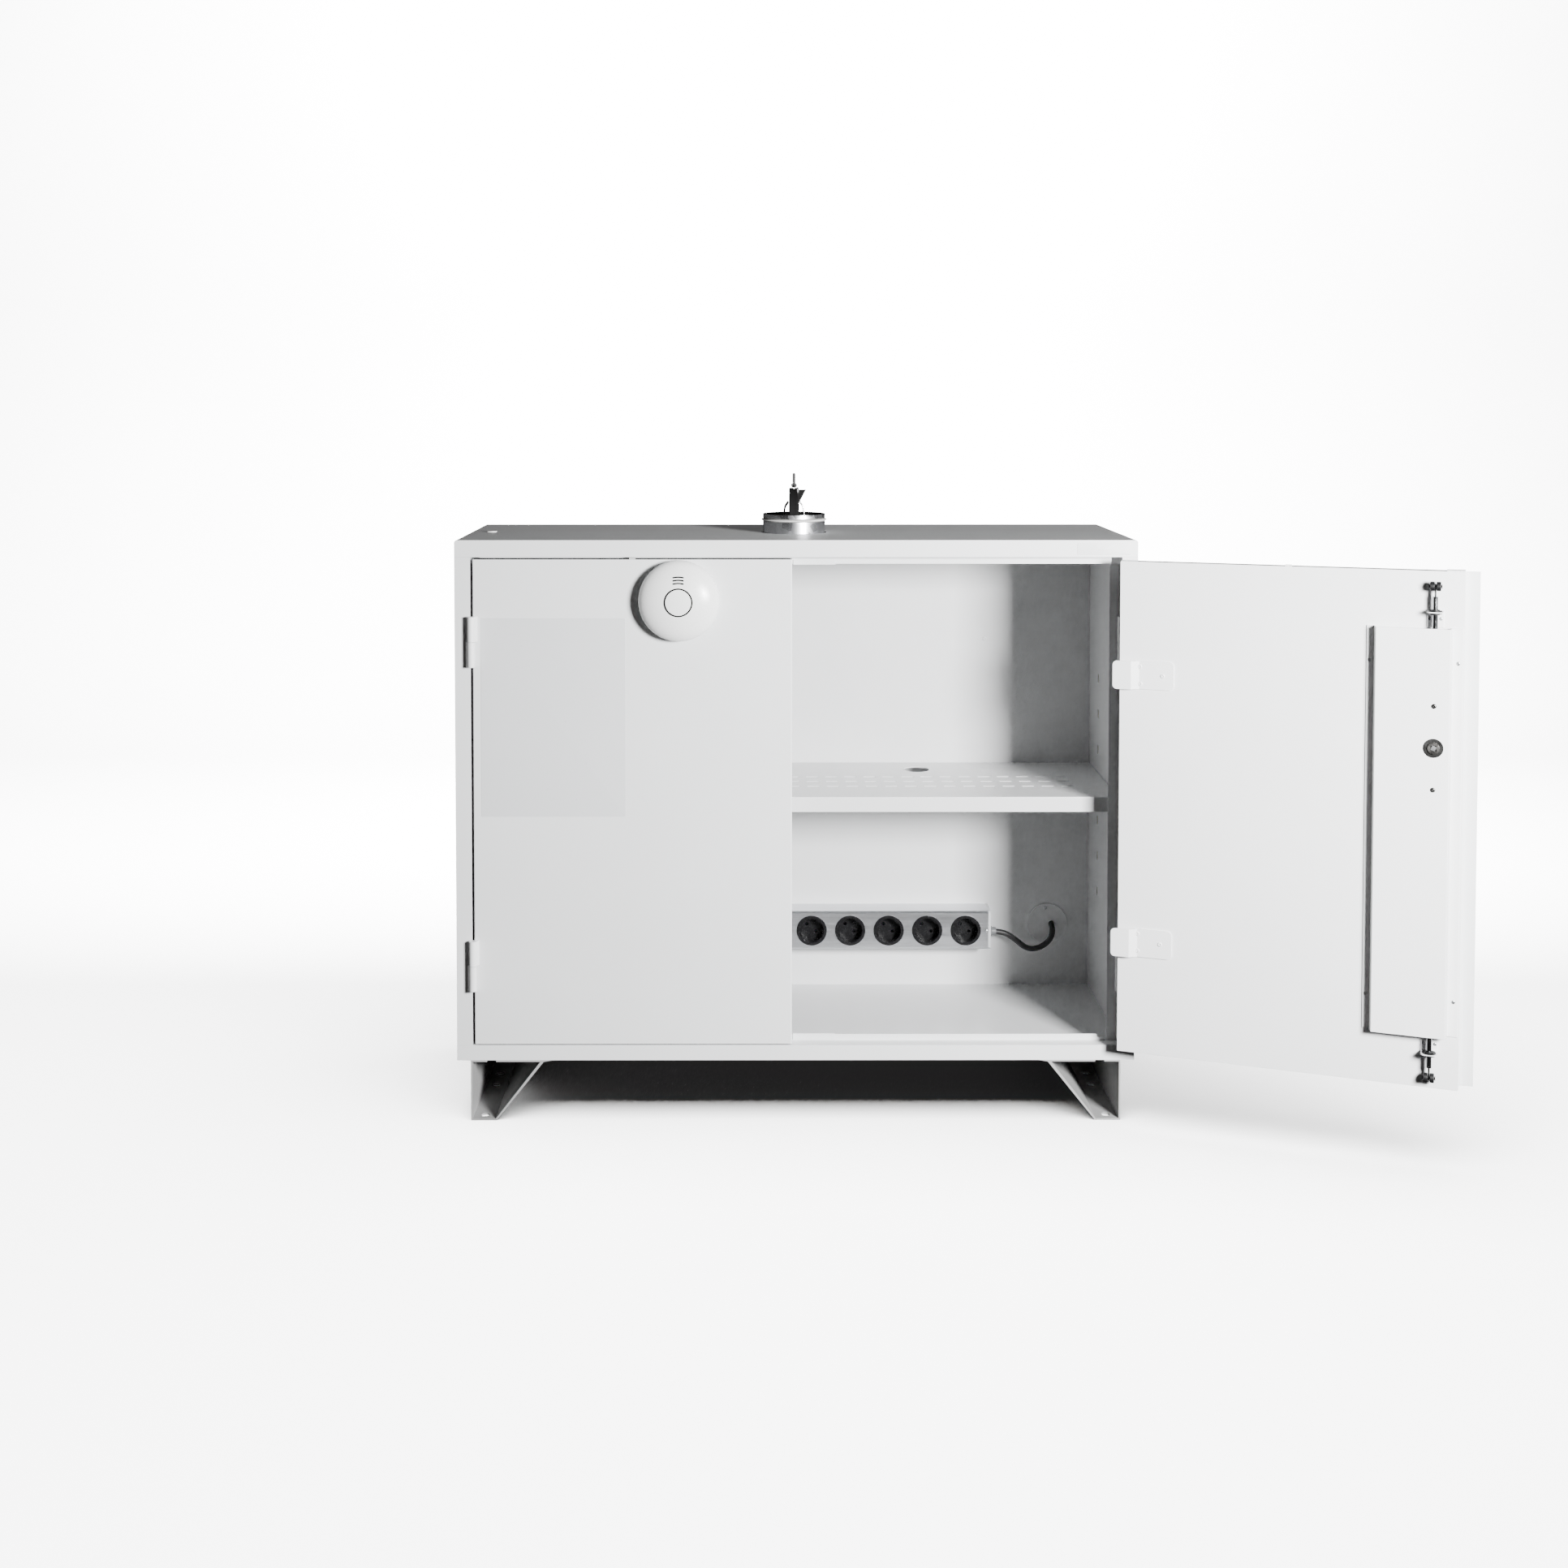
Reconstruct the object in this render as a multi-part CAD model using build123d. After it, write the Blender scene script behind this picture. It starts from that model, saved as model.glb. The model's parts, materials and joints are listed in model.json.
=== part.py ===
from build123d import *
import math
import os

# Two-door charging cabinet for batteries, on two folded feet.
# Millimetres. +X is to the right seen from the front, the front faces -Y, +Z is up.
# The origin lies on the floor, in the middle of the feet's bolt holes.
# The left door is modelled shut. The right door is modelled shut and then swung open.

# ---- carcass ----
WIDTH = 1000.0
DEPTH = 320.0
BODY_HEIGHT = 770.0
FOOT_HEIGHT = 90.0
CORNER_RADIUS = 4.0
SHEET = 1.5                 # outer sheet, front frame, shelf
LINER_SHEET = 1.0
SIDE_WALL = 16.0            # outer sheet + board + liner
BACK_WALL = 20.0
FLOOR_WALL = 17.0
ROOF_WALL = 18.0

# ---- front frame ----
STILE_WIDTH = 23.0
TOP_RAIL = 25.0
BOTTOM_RAIL = 22.5
STOP_SETBACK = 20.5         # front face of the frame to the door stop
TOP_STOP_DROP = 11.5        # stop below the top rail
SIDE_STOP = 14.5            # stop inside a stile
BOTTOM_STOP_RISE = 9.5      # stop above the bottom rail
STOP_RELIEF = 12.0          # corner notch between the stops
STOP_STEP = 12.5            # low step at each end of the bottom stop
STRIKE_WIDTH = 62.0
STRIKE_SHEET = 1.2

# ---- feet ----
FOOT_INSET = 20.0
FOOT_SHEET = 2.5
FOOT_FLANGE = 37.5
FOOT_TOP = 107.5
FOOT_HOLE_RADIUS = 6.25
FOOT_HOLE_EDGE = 19.0       # hole to the foot's outer face
FOOT_HOLE_END = 16.0        # end hole to the foot's end
FOOT_HOLE_STEP = 120.0      # end hole to inner hole

# ---- shelf ----
SHELF_TOP = 473.0
SHELF_LIP = 22.5
SHELF_SETBACK = 40.0
SHELF_PLAY = 1.0
SLOT_LENGTH = 20.0
SLOT_WIDTH = 5.0
SLOT_PITCH = 29.9
SLOT_COLUMNS = 29
SLOT_ROW_PITCH = 35.0
SLOT_ROWS = 3
SLOT_FIRST_ROW = 116.0      # first row from the cabinet's front
SHELF_HOLE_RADIUS = 20.5
SHELF_HOLE_X = 197.5
SHELF_HOLE_BACK = 57.0      # hole centre to the back wall
CLIP_SLOT_WIDTH = 8.0
CLIP_SLOT_HEIGHT = 14.0
CLIP_PITCH = 56.6
CLIP_COUNT = 7
CLIP_ROW = 62.0             # slot rows before and behind mid depth
CLIP_REACH = 9.0
CLIP_THICK = 3.0

# ---- socket strip ----
STRIP_LENGTH = 639.0
STRIP_HEIGHT = 61.5
STRIP_DEPTH = 47.0
STRIP_BOTTOM = 179.0
STRIP_BEVEL = 3.0
STRIP_WALL = 2.0
STRIP_CAP = 4.0
SOCKET_COUNT = 10
SOCKET_MARGIN = 40.5        # end socket to the strip's end
SOCKET_RADIUS = 24.3
SOCKET_RECESS_RADIUS = 19.6
SOCKET_RECESS_DEPTH = 17.5
SOCKET_RIM = 0.8
SOCKET_PIN_RADIUS = 2.6
SOCKET_PIN_SPREAD = 9.5
SOCKET_TWIST = 40.0
CABLE_RADIUS = 4.5
CABLE_PLAY = 0.5
GLAND_RISE = 23.0           # strip's lower edge to the gland's axis
ROUTE_SHARE = 0.45          # of the shorter run, taken up by each bend
GLAND_LENGTH = 11.0
GLAND_RADIUS = 8.0
ENTRY_INSET = 60.0          # cable to the side wall
ENTRY_COVER_SHIFT = 7.0     # the cover's centre is beside the cable
ENTRY_Z = 208.0
ENTRY_RADIUS = 33.0
ENTRY_SHEET = 2.0

# ---- duct spigot and fire damper ----
SPIGOT_RADIUS = 48.0
SPIGOT_SHEET = 1.0
SPIGOT_HEIGHT = 28.5
SPIGOT_FLANGE = 14.0
SPIGOT_NECK = 2.0           # the collar is that much thicker inside the roof
SEAL_GROOVE = 1.2
SEAL_WIDTH = 5.0
SEAL_DROP = 6.0             # rim to the seal groove
DAMPER_SHEET = 1.0
DAMPER_PLAY = 0.3
DAMPER_BAR = 3.0
DAMPER_POST_TOP = 5.0       # above the folded blades
POST_HALF = 0.75
LINK_FOOT = 2.0             # above the folded blades
LINK_TOP = 23.0
LINK_THICK = 1.8
BLADE_THICK = 5.5
BLADE_GAP = 1.5
BLADE_PLAY = 0.7
BLADE_HINGE_DROP = 2.5      # hinge line below the rim
GUSSET_SHEET = 1.5          # stiffening corner on the right blade
GUSSET_RISE = 39.5          # hinge line to the gusset's top edge
GUSSET_REACH = 18.5         # its tip from the mid plane
GUSSET_HEIGHT = 18.0
SPRING_WIRE = 1.3
SPRING_RADIUS = 6.0
SPRING_Y = 12.0
SPRING_RISE = 21.0
SPRING_OUT = 15.5
SPRING_DROP = 8.0
PLUG_RADIUS = 6.5
PLUG_INSET = 33.0

# ---- doors ----
DOOR_THICK = 18.0
DOOR_SHEET = 1.2
DOOR_GAP = 3.5              # door edge to stile
DOOR_TOP_GAP = 3.0
DOOR_BOTTOM_GAP = 2.0
DOOR_MIDDLE_GAP = 12.0
DOOR_EDGE_RADIUS = 1.5
LIP_REACH = 19.4            # right door's lip past its own edge
LIP_JOGGLE = 2.2
HINGE_STANDOFF = 6.0        # hinge axis in front of the closed doors
HINGE_RADIUS = 5.5
HINGE_LENGTH = 74.0
HINGE_PIN_RADIUS = 3.0
HINGE_FIT = 0.05
HINGE_GAP = 0.5
HINGE_TAIL = 9.0
HINGE_TAIL_GAP = 0.3
HINGE_TAIL_BROW = 2.0
HINGE_PIN_LENGTH = 24.0
HINGE_BORE_DEPTH = 26.0
UPPER_HINGE_DROP = 120.7    # door's top edge to the split of the barrel
LOWER_HINGE_RISE = 118.0
RIGHT_DOOR_OPEN = 160.0     # degrees
CATCH_X = 240.0
CATCH_WIDTH = 9.0
CATCH_RISE = 1.5
TAB_X = (6.0, 30.0)         # stop tab on the right door's top edge
TAB_RISE = 1.4
HOOK_SHEET = 2.0
HOOK_HEIGHT = 41.0
HOOK_INNER = 77.0           # inner end from the door's hinge edge
HOOK_OUTER = 9.0            # tip past the door's hinge edge
HOOK_RISE = 7.3
HOOK_JOGGLE_START = 27.5
HOOK_JOGGLE_END = 16.5
HOOK_CORNER = 6.0
UPPER_HOOK_DROP = 164.0
LOWER_HOOK_RISE = 162.5

# ---- lock of the right door ----
LOCK_X = 44.5
LOCK_DROP = 241.3           # door's top edge to the spindle
HAT_SHEET = 1.5
HAT_DEPTH = 17.0
HAT_FACE = (24.0, 121.5)
HAT_EDGES = (8.5, 133.5)
HAT_SLOPE = 2.5
HAT_ENDS = (75.0, 78.0)     # clear of the door's bottom and top edge
ROD_RADIUS = 3.5
ROD_OFFSET = 11.5           # rod axis off the door's inner face
ROD_TRAVEL = 17.0
ROD_FLAT = 2.2
ROLLER_RADIUS = 6.5
ROLLER_WIDTH = 6.0
ROLLER_BORE = 2.05
AXLE_RADIUS = 2.0
AXLE_HEAD = 3.2
AXLE_HEAD_SHEET = 1.2
TOP_ROLLER_DROP = 20.1
BOTTOM_ROLLER_RISE = 18.0
TOP_GUIDE_DROP = 55.5
BOTTOM_GUIDE_RISE = 51.5
GUIDE_WIDTH = 22.0
GUIDE_DEPTH = 20.0
GUIDE_FOOT = 22.0
BUSH_RADIUS = 6.0
BUSH_FLANGE = 9.0
BUSH_HEIGHT = 7.0
BUSH_CLEARANCE = 0.1
CAM_RADIUS = 17.0
CAM_THICK = 4.0
CAM_HUB_RADIUS = 7.0
CAM_PIN_RADIUS = 3.0
CAM_PIN_CIRCLE = ROD_TRAVEL / math.sqrt(2)
YOKE_PLAY = 0.7
YOKE_SHEET = 3.0
YOKE_WALL = 2.2
LOCK_PLATE = (40.0, 150.0, 2.0)
SPINDLE_SQUARE = 8.0
SPINDLE_PLAY = 0.2
WASHER_RADIUS = 13.0
BOSS_FLATS = 15.0
SCREW_SPREAD = 57.5
HANDLE_PLATE = (38.0, 150.0, 6.0)
HANDLE_HUB_RADIUS = 15.0
HANDLE_STANDOFF = 30.0
HANDLE_LENGTH = 118.0
HANDLE_GRIP = (20.0, 12.0)
KEY_PLUG_RADIUS = 7.0
KEY_PLUG_DEPTH = 14.0

# ---- smoke alarm on the left door ----
ALARM_X = -171.2
ALARM_DROP = 59.6           # door's top edge to the alarm's axis
ALARM_RADIUS = 59.0
ALARM_BASE = 8.0
ALARM_HEIGHT = 38.0
ALARM_BASE_INSET = 2.5
ALARM_SKIRT = 14.0          # straight part of the shell, from the door
DOME_POINTS = 8
BUTTON_RADIUS = 18.8
BUTTON_PLAY = 1.7
BUTTON_FLANGE = 1.5         # thick and wider than the opening, behind the collar
BUTTON_SEAT = 0.5
ALARM_COLLAR = 10.0         # collar round the button, from the crown
ALARM_SHELL = 2.0
SOUND_SLOTS = (27.0, 31.4, 35.8)
SOUND_SLOT_WIDTH = 1.8
SOUND_SLOT_HALF = 7.8

# ---- places worked out from the sizes above ----
FRONT = -DEPTH / 2
BACK = DEPTH / 2
SIDE = WIDTH / 2
Z_BOTTOM = FOOT_HEIGHT
Z_TOP = FOOT_HEIGHT + BODY_HEIGHT
INNER_X = SIDE - SIDE_WALL
INNER_BACK = BACK - BACK_WALL
INNER_FLOOR = Z_BOTTOM + FLOOR_WALL
INNER_ROOF = Z_TOP - ROOF_WALL
OPEN_X = SIDE - STILE_WIDTH
OPEN_TOP = Z_TOP - TOP_RAIL
OPEN_BOTTOM = Z_BOTTOM + BOTTOM_RAIL
STOP_Y = FRONT + STOP_SETBACK
STOP_BACK = STOP_Y + SHEET
TOP_STOP_Z = OPEN_TOP - TOP_STOP_DROP
BOTTOM_STOP_Z = OPEN_BOTTOM + BOTTOM_STOP_RISE
DOOR_INNER_Y = FRONT + DOOR_THICK
DOOR_TOP = OPEN_TOP - DOOR_TOP_GAP
DOOR_BOTTOM = OPEN_BOTTOM + DOOR_BOTTOM_GAP
UPPER_HINGE_Z = DOOR_TOP - UPPER_HINGE_DROP
LOWER_HINGE_Z = DOOR_BOTTOM + LOWER_HINGE_RISE
UPPER_HOOK_Z = DOOR_TOP - UPPER_HOOK_DROP
LOWER_HOOK_Z = DOOR_BOTTOM + LOWER_HOOK_RISE
LOCK_Z = DOOR_TOP - LOCK_DROP
HAT_Z = (DOOR_BOTTOM + HAT_ENDS[0], DOOR_TOP - HAT_ENDS[1])
TOP_ROLLER_Z = DOOR_TOP - TOP_ROLLER_DROP
BOTTOM_ROLLER_Z = DOOR_BOTTOM + BOTTOM_ROLLER_RISE
TOP_GUIDE_Z = DOOR_TOP - TOP_GUIDE_DROP
BOTTOM_GUIDE_Z = DOOR_BOTTOM + BOTTOM_GUIDE_RISE
ALARM_Z = DOOR_TOP - ALARM_DROP
DOOR_HINGE_EDGE = OPEN_X - DOOR_GAP
DOOR_FREE_EDGE = DOOR_MIDDLE_GAP / 2
HINGE_X = OPEN_X - DOOR_GAP / 2
HINGE_Y = FRONT - HINGE_STANDOFF
ROD_Y = DOOR_INNER_Y + ROD_OFFSET
HAT_Y = DOOR_INNER_Y + HAT_DEPTH
SPIGOT_TOP = Z_TOP + SPIGOT_HEIGHT
BLADE_HINGE_Z = SPIGOT_TOP - BLADE_HINGE_DROP
ROOF_HOLE_RADIUS = SPIGOT_RADIUS + SPIGOT_NECK + DAMPER_PLAY
DAMPER_RADIUS = SPIGOT_RADIUS - SPIGOT_SHEET - SEAL_GROOVE - DAMPER_PLAY
BLADE_RADIUS = DAMPER_RADIUS - DAMPER_SHEET - BLADE_GAP - BLADE_PLAY
BLADE_TOP = BLADE_HINGE_Z + BLADE_RADIUS
PLUG_REACH = SIDE - PLUG_INSET
ENTRY_X = INNER_X - ENTRY_INSET
ENTRY_COVER_X = ENTRY_X - ENTRY_COVER_SHIFT
SOCKET_PITCH = (STRIP_LENGTH - 2 * SOCKET_MARGIN) / (SOCKET_COUNT - 1)
STRIP_FRONT = INNER_BACK - STRIP_DEPTH
STRIP_MID_Z = STRIP_BOTTOM + STRIP_HEIGHT / 2
GLAND_Z = STRIP_BOTTOM + GLAND_RISE


def block(x0, x1, y0, y1, z0, z1):
    """Box between three pairs of planes."""
    size = (abs(x1 - x0), abs(y1 - y0), abs(z1 - z0))
    return Pos((x0 + x1) / 2, (y0 + y1) / 2, (z0 + z1) / 2) * Box(*size)


def drum_z(x, y, z0, z1, radius):
    """Cylinder along Z."""
    return Pos(x, y, (z0 + z1) / 2) * Cylinder(radius, z1 - z0)


def drum_y(x, z, y0, y1, radius):
    """Cylinder along Y."""
    return Pos(x, (y0 + y1) / 2, z) * Rot(90, 0, 0) * Cylinder(radius, y1 - y0)


def drum_x(y, z, x0, x1, radius):
    """Cylinder along X."""
    return Pos((x0 + x1) / 2, y, z) * Rot(0, 90, 0) * Cylinder(radius, x1 - x0)


def plate_xz(outline, y0, y1):
    """Outline in X and Z, given as sketch points, made solid from y0 to y1."""
    face = make_face(Polyline(*[(x, y0, z) for x, z in outline], close=True))
    return extrude(face, amount=y1 - y0, dir=(0, 1, 0))


def plate_yz(outline, x0, x1):
    """Outline in Y and Z made solid from x0 to x1."""
    face = make_face(Polyline(*[(x0, y, z) for y, z in outline], close=True))
    return extrude(face, amount=x1 - x0, dir=(1, 0, 0))


def plate_xy(outline, z0, z1):
    """Outline in X and Y made solid from z0 to z1."""
    face = make_face(Polyline(*[(x, y, z0) for x, y in outline], close=True))
    return extrude(face, amount=z1 - z0, dir=(0, 0, 1))


def mirrored(shape):
    """The same piece on the other side of the cabinet."""
    return mirror(shape, about=Plane.YZ)


def swing_open(shape):
    """Turn a piece of the right door from shut to the pose it is stored in."""
    hinge = Pos(HINGE_X, HINGE_Y, 0)
    return hinge * Rot(0, 0, RIGHT_DOOR_OPEN) * Pos(-HINGE_X, -HINGE_Y, 0) * shape


# ---- carcass ----
def outer_wrap():
    """Sides and roof, folded from one sheet."""
    y0 = FRONT + SHEET
    outside = block(-SIDE, SIDE, y0, BACK, Z_BOTTOM, Z_TOP)
    top_edges = outside.edges().filter_by(Axis.Y).group_by(Axis.Z)[-1]
    outside = fillet(top_edges, CORNER_RADIUS)
    inside = block(-SIDE + SHEET, SIDE - SHEET, y0, BACK, Z_BOTTOM, Z_TOP - SHEET)
    top_edges = inside.edges().filter_by(Axis.Y).group_by(Axis.Z)[-1]
    inside = fillet(top_edges, CORNER_RADIUS - SHEET)
    wrap = outside - inside
    wrap -= drum_z(0, 0, Z_TOP - 2 * SHEET, Z_TOP + 1, ROOF_HOLE_RADIUS)
    return wrap - drum_z(-PLUG_REACH, 0, Z_TOP - 2 * SHEET, Z_TOP + 1, PLUG_RADIUS)


def bottom_panel():
    return block(-SIDE + SHEET, SIDE - SHEET, FRONT + SHEET, BACK, Z_BOTTOM, Z_BOTTOM + SHEET)


def back_panel():
    sheet = block(-SIDE + SHEET, SIDE - SHEET, BACK - SHEET, BACK, Z_BOTTOM + SHEET, Z_TOP - CORNER_RADIUS)
    return sheet - drum_y(ENTRY_X, ENTRY_Z, BACK - 2 * SHEET, BACK + 1, CABLE_RADIUS + CABLE_PLAY)


def liner():
    """Inner box, open to the front, with the slots for the shelf clips."""
    t = LINER_SHEET
    y0 = STOP_BACK
    box = block(-INNER_X - t, INNER_X + t, y0, INNER_BACK + t, INNER_FLOOR - t, INNER_ROOF + t)
    box -= block(-INNER_X, INNER_X, y0, INNER_BACK, INNER_FLOOR, INNER_ROOF)
    box -= drum_z(0, 0, INNER_ROOF - 1, INNER_ROOF + 2 * t, ROOF_HOLE_RADIUS)
    box -= drum_y(ENTRY_X, ENTRY_Z, INNER_BACK - 1, INNER_BACK + 2 * t, CABLE_RADIUS + CABLE_PLAY)
    for z in clip_heights():
        for y in (-CLIP_ROW, CLIP_ROW):
            slot = block(-SIDE, SIDE, y - CLIP_SLOT_WIDTH / 2, y + CLIP_SLOT_WIDTH / 2,
                         z - CLIP_SLOT_HEIGHT / 2, z + CLIP_SLOT_HEIGHT / 2)
            box -= slot
    return box


def clip_heights():
    """Slot centres of one row. The shelf hangs on the middle one."""
    middle = shelf_clip_z()
    return [middle + CLIP_PITCH * (i - CLIP_COUNT // 2) for i in range(CLIP_COUNT)]


def shelf_clip_z():
    return SHELF_TOP - SHELF_LIP + 2.0


def insulation():
    """Five boards between the outer sheet and the liner."""
    y0 = STOP_BACK
    y1 = BACK - SHEET
    t = LINER_SHEET
    lower = INNER_FLOOR - t
    upper = INNER_ROOF + t
    side = block(INNER_X + t, SIDE - SHEET, y0, y1, lower, upper)
    for z in clip_heights():
        for y in (-CLIP_ROW, CLIP_ROW):
            side -= block(INNER_X, INNER_X + CLIP_REACH, y - CLIP_SLOT_WIDTH / 2, y + CLIP_SLOT_WIDTH / 2,
                          z - CLIP_SLOT_HEIGHT / 2, z + CLIP_SLOT_HEIGHT / 2)
    roof = block(-SIDE + SHEET, SIDE - SHEET, y0, y1, upper, Z_TOP - CORNER_RADIUS)
    roof += block(-SIDE + CORNER_RADIUS, SIDE - CORNER_RADIUS, y0, y1, upper, Z_TOP - SHEET)
    roof -= block(-SIDE, SIDE, y1 - SHEET, y1, Z_TOP - CORNER_RADIUS, Z_TOP)
    roof -= drum_z(0, 0, upper - 1, Z_TOP, ROOF_HOLE_RADIUS)
    roof -= drum_z(-PLUG_REACH, 0, upper - 1, Z_TOP, PLUG_RADIUS)
    floor = block(-SIDE + SHEET, SIDE - SHEET, y0, y1, Z_BOTTOM + SHEET, lower)
    back = block(-INNER_X - t, INNER_X + t, INNER_BACK + t, y1, lower, upper)
    back -= drum_y(ENTRY_X, ENTRY_Z, INNER_BACK, BACK, CABLE_RADIUS + CABLE_PLAY)
    return [side, mirrored(side), roof, floor, back]


def frame_top_rail():
    """Front face, return and door stop of the head, full width."""
    face = block(-SIDE, SIDE, FRONT, FRONT + SHEET, OPEN_TOP, Z_TOP)
    face = fillet(face.edges().filter_by(Axis.Y).group_by(Axis.Z)[-1], CORNER_RADIUS)
    back = block(-SIDE + CORNER_RADIUS, SIDE - CORNER_RADIUS, STOP_Y, STOP_BACK, OPEN_TOP, Z_TOP - SHEET)
    fold = block(-SIDE + SHEET, SIDE - SHEET, FRONT, STOP_BACK, OPEN_TOP, OPEN_TOP + SHEET)
    stop_x = OPEN_X - STOP_RELIEF
    stop = block(-stop_x, stop_x, STOP_Y, STOP_BACK, TOP_STOP_Z, OPEN_TOP)
    stop = fillet(stop.edges().filter_by(Axis.Y).group_by(Axis.Z)[0], 4.0)
    return face + back + fold + stop


def frame_bottom_rail():
    face = block(-SIDE, SIDE, FRONT, FRONT + SHEET, Z_BOTTOM, OPEN_BOTTOM)
    back = block(-SIDE + SHEET, SIDE - SHEET, STOP_Y, STOP_BACK, Z_BOTTOM + SHEET, OPEN_BOTTOM)
    fold = block(-SIDE + SHEET, SIDE - SHEET, FRONT, STOP_BACK, OPEN_BOTTOM - SHEET, OPEN_BOTTOM)
    step_x = OPEN_X - SIDE_STOP - SHEET
    stop_x = step_x - STOP_STEP
    step_z = OPEN_BOTTOM + BOTTOM_STOP_RISE / 2
    low = block(-step_x, step_x, STOP_Y, STOP_BACK, OPEN_BOTTOM, step_z)
    high = block(-stop_x, stop_x, STOP_Y, STOP_BACK, OPEN_BOTTOM, BOTTOM_STOP_Z)
    high = fillet(high.edges().filter_by(Axis.Y).group_by(Axis.Z)[-1], 3.0)
    return face + back + fold + low + high


def frame_stile():
    """Right stile between the rails."""
    z0 = OPEN_BOTTOM
    z1 = OPEN_TOP
    face = block(OPEN_X, SIDE, FRONT, FRONT + SHEET, z0, z1)
    fold = block(OPEN_X, OPEN_X + SHEET, FRONT, STOP_BACK, z0, z1)
    back = block(OPEN_X, SIDE - SHEET, STOP_Y, STOP_BACK, z0, z1)
    stop = block(OPEN_X - SIDE_STOP, OPEN_X, STOP_Y, STOP_BACK, z0, TOP_STOP_Z)
    return face + fold + back + stop


def strike_plates():
    """Hardened strips round the stops where the rollers run in."""
    x0 = LOCK_X - STRIKE_WIDTH * 0.78
    x1 = x0 + STRIKE_WIDTH
    y0 = STOP_Y - STRIKE_SHEET
    top = block(x0, x1, y0, STOP_Y, TOP_STOP_Z - STRIKE_SHEET, TOP_STOP_Z + 6)
    top += block(x0, x1, STOP_Y, STOP_BACK, TOP_STOP_Z - STRIKE_SHEET, TOP_STOP_Z)
    low = block(x0, x1, y0, STOP_Y, BOTTOM_STOP_Z - 8, BOTTOM_STOP_Z + STRIKE_SHEET)
    low += block(x0, x1, STOP_Y, STOP_BACK, BOTTOM_STOP_Z, BOTTOM_STOP_Z + STRIKE_SHEET)
    return [top, low]


def top_plug():
    """Push-in cap of the unused cable hole in the roof."""
    cap = drum_z(-PLUG_REACH, 0, Z_TOP, Z_TOP + 1.5, PLUG_RADIUS + 1.5)
    stem = drum_z(-PLUG_REACH, 0, Z_TOP - 5, Z_TOP, PLUG_RADIUS - 0.2)
    return cap + stem


# ---- feet ----
def foot():
    """Right foot: one sheet folded to an upright, a floor flange and a slanted web."""
    t = FOOT_SHEET
    x_out = SIDE - FOOT_INSET
    x_flange = x_out - FOOT_FLANGE
    x_top = x_out - FOOT_TOP
    outside = [(x_out, 0), (x_out, Z_BOTTOM), (x_top - 14, Z_BOTTOM), (x_top, Z_BOTTOM - t), (x_flange, 0)]
    slope = math.hypot(x_flange - x_top, Z_BOTTOM)
    shift = t * slope / Z_BOTTOM
    inner_flange = x_flange + (shift - t * (x_flange - x_top) / Z_BOTTOM)
    body = plate_xz(outside, FRONT, BACK)
    inner_top = inner_flange - (x_flange - x_top) * (Z_BOTTOM - 2 * t) / Z_BOTTOM
    hollow = [(x_out - t, t), (x_out - t, Z_BOTTOM - t), (inner_top, Z_BOTTOM - t), (inner_flange, t)]
    body -= plate_xz(hollow, FRONT, BACK)
    mouth = block(x_out - FOOT_FLANGE, x_out - 2 * FOOT_HOLE_EDGE + 14, FRONT, BACK, Z_BOTTOM - t, Z_BOTTOM)
    body -= mouth
    for y in foot_hole_ys():
        body -= drum_z(x_out - FOOT_HOLE_EDGE, y, -1, t + 1, FOOT_HOLE_RADIUS)
    return body


def foot_hole_ys():
    end = BACK - FOOT_HOLE_END
    inner = end - FOOT_HOLE_STEP
    return (-end, -inner, inner, end)


# ---- shelf ----
def shelf():
    """Perforated tray shelf, lips folded down on all four sides."""
    x = INNER_X - SHELF_PLAY
    y0 = FRONT + SHELF_SETBACK
    y1 = INNER_BACK - SHELF_PLAY
    z1 = SHELF_TOP
    z0 = SHELF_TOP - SHELF_LIP
    tray = block(-x, x, y0, y1, z0, z1)
    tray = fillet(tray.edges().filter_by(Axis.X).group_by(Axis.Z)[-1], SHEET)
    tray -= block(-x + SHEET, x - SHEET, y0 + SHEET, y1 - SHEET, z0, z1 - SHEET)
    cutters = []
    for i in range(SLOT_COLUMNS):
        for j in range(SLOT_ROWS):
            sx = (i - (SLOT_COLUMNS - 1) / 2) * SLOT_PITCH
            sy = FRONT + SLOT_FIRST_ROW + j * SLOT_ROW_PITCH
            cutters.append(Pos(sx, sy, z1 - SHEET) * shelf_slot())
    for side in (-1, 1):
        hole_y = INNER_BACK - SHELF_HOLE_BACK
        cutters.append(drum_z(side * SHELF_HOLE_X, hole_y, z1 - 2 * SHEET, z1 + 1, SHELF_HOLE_RADIUS))
    return tray - Compound(cutters)


def shelf_slot():
    return extrude(SlotOverall(SLOT_LENGTH, SLOT_WIDTH), amount=3 * SHEET, both=True)


def shelf_clips():
    """Four hooks in the liner's slots, under the shelf's side lips."""
    z_top = SHELF_TOP - SHELF_LIP
    half = CLIP_SLOT_WIDTH / 2 - 0.5
    clips = []
    for side in (-1, 1):
        for y in (-CLIP_ROW, CLIP_ROW):
            x_in = INNER_X - CLIP_REACH
            x_out = INNER_X + CLIP_REACH - 2
            arm = block(x_in, x_out, y - half, y + half, z_top - CLIP_THICK, z_top)
            nose = block(x_in, INNER_X, y - half * 2, y + half * 2, z_top - CLIP_THICK, z_top)
            leg = block(INNER_X - CLIP_THICK, INNER_X, y - half * 2, y + half * 2, z_top - 16, z_top)
            clip = arm + nose + leg
            clips.append(clip if side > 0 else mirrored(clip))
    return clips


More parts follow.
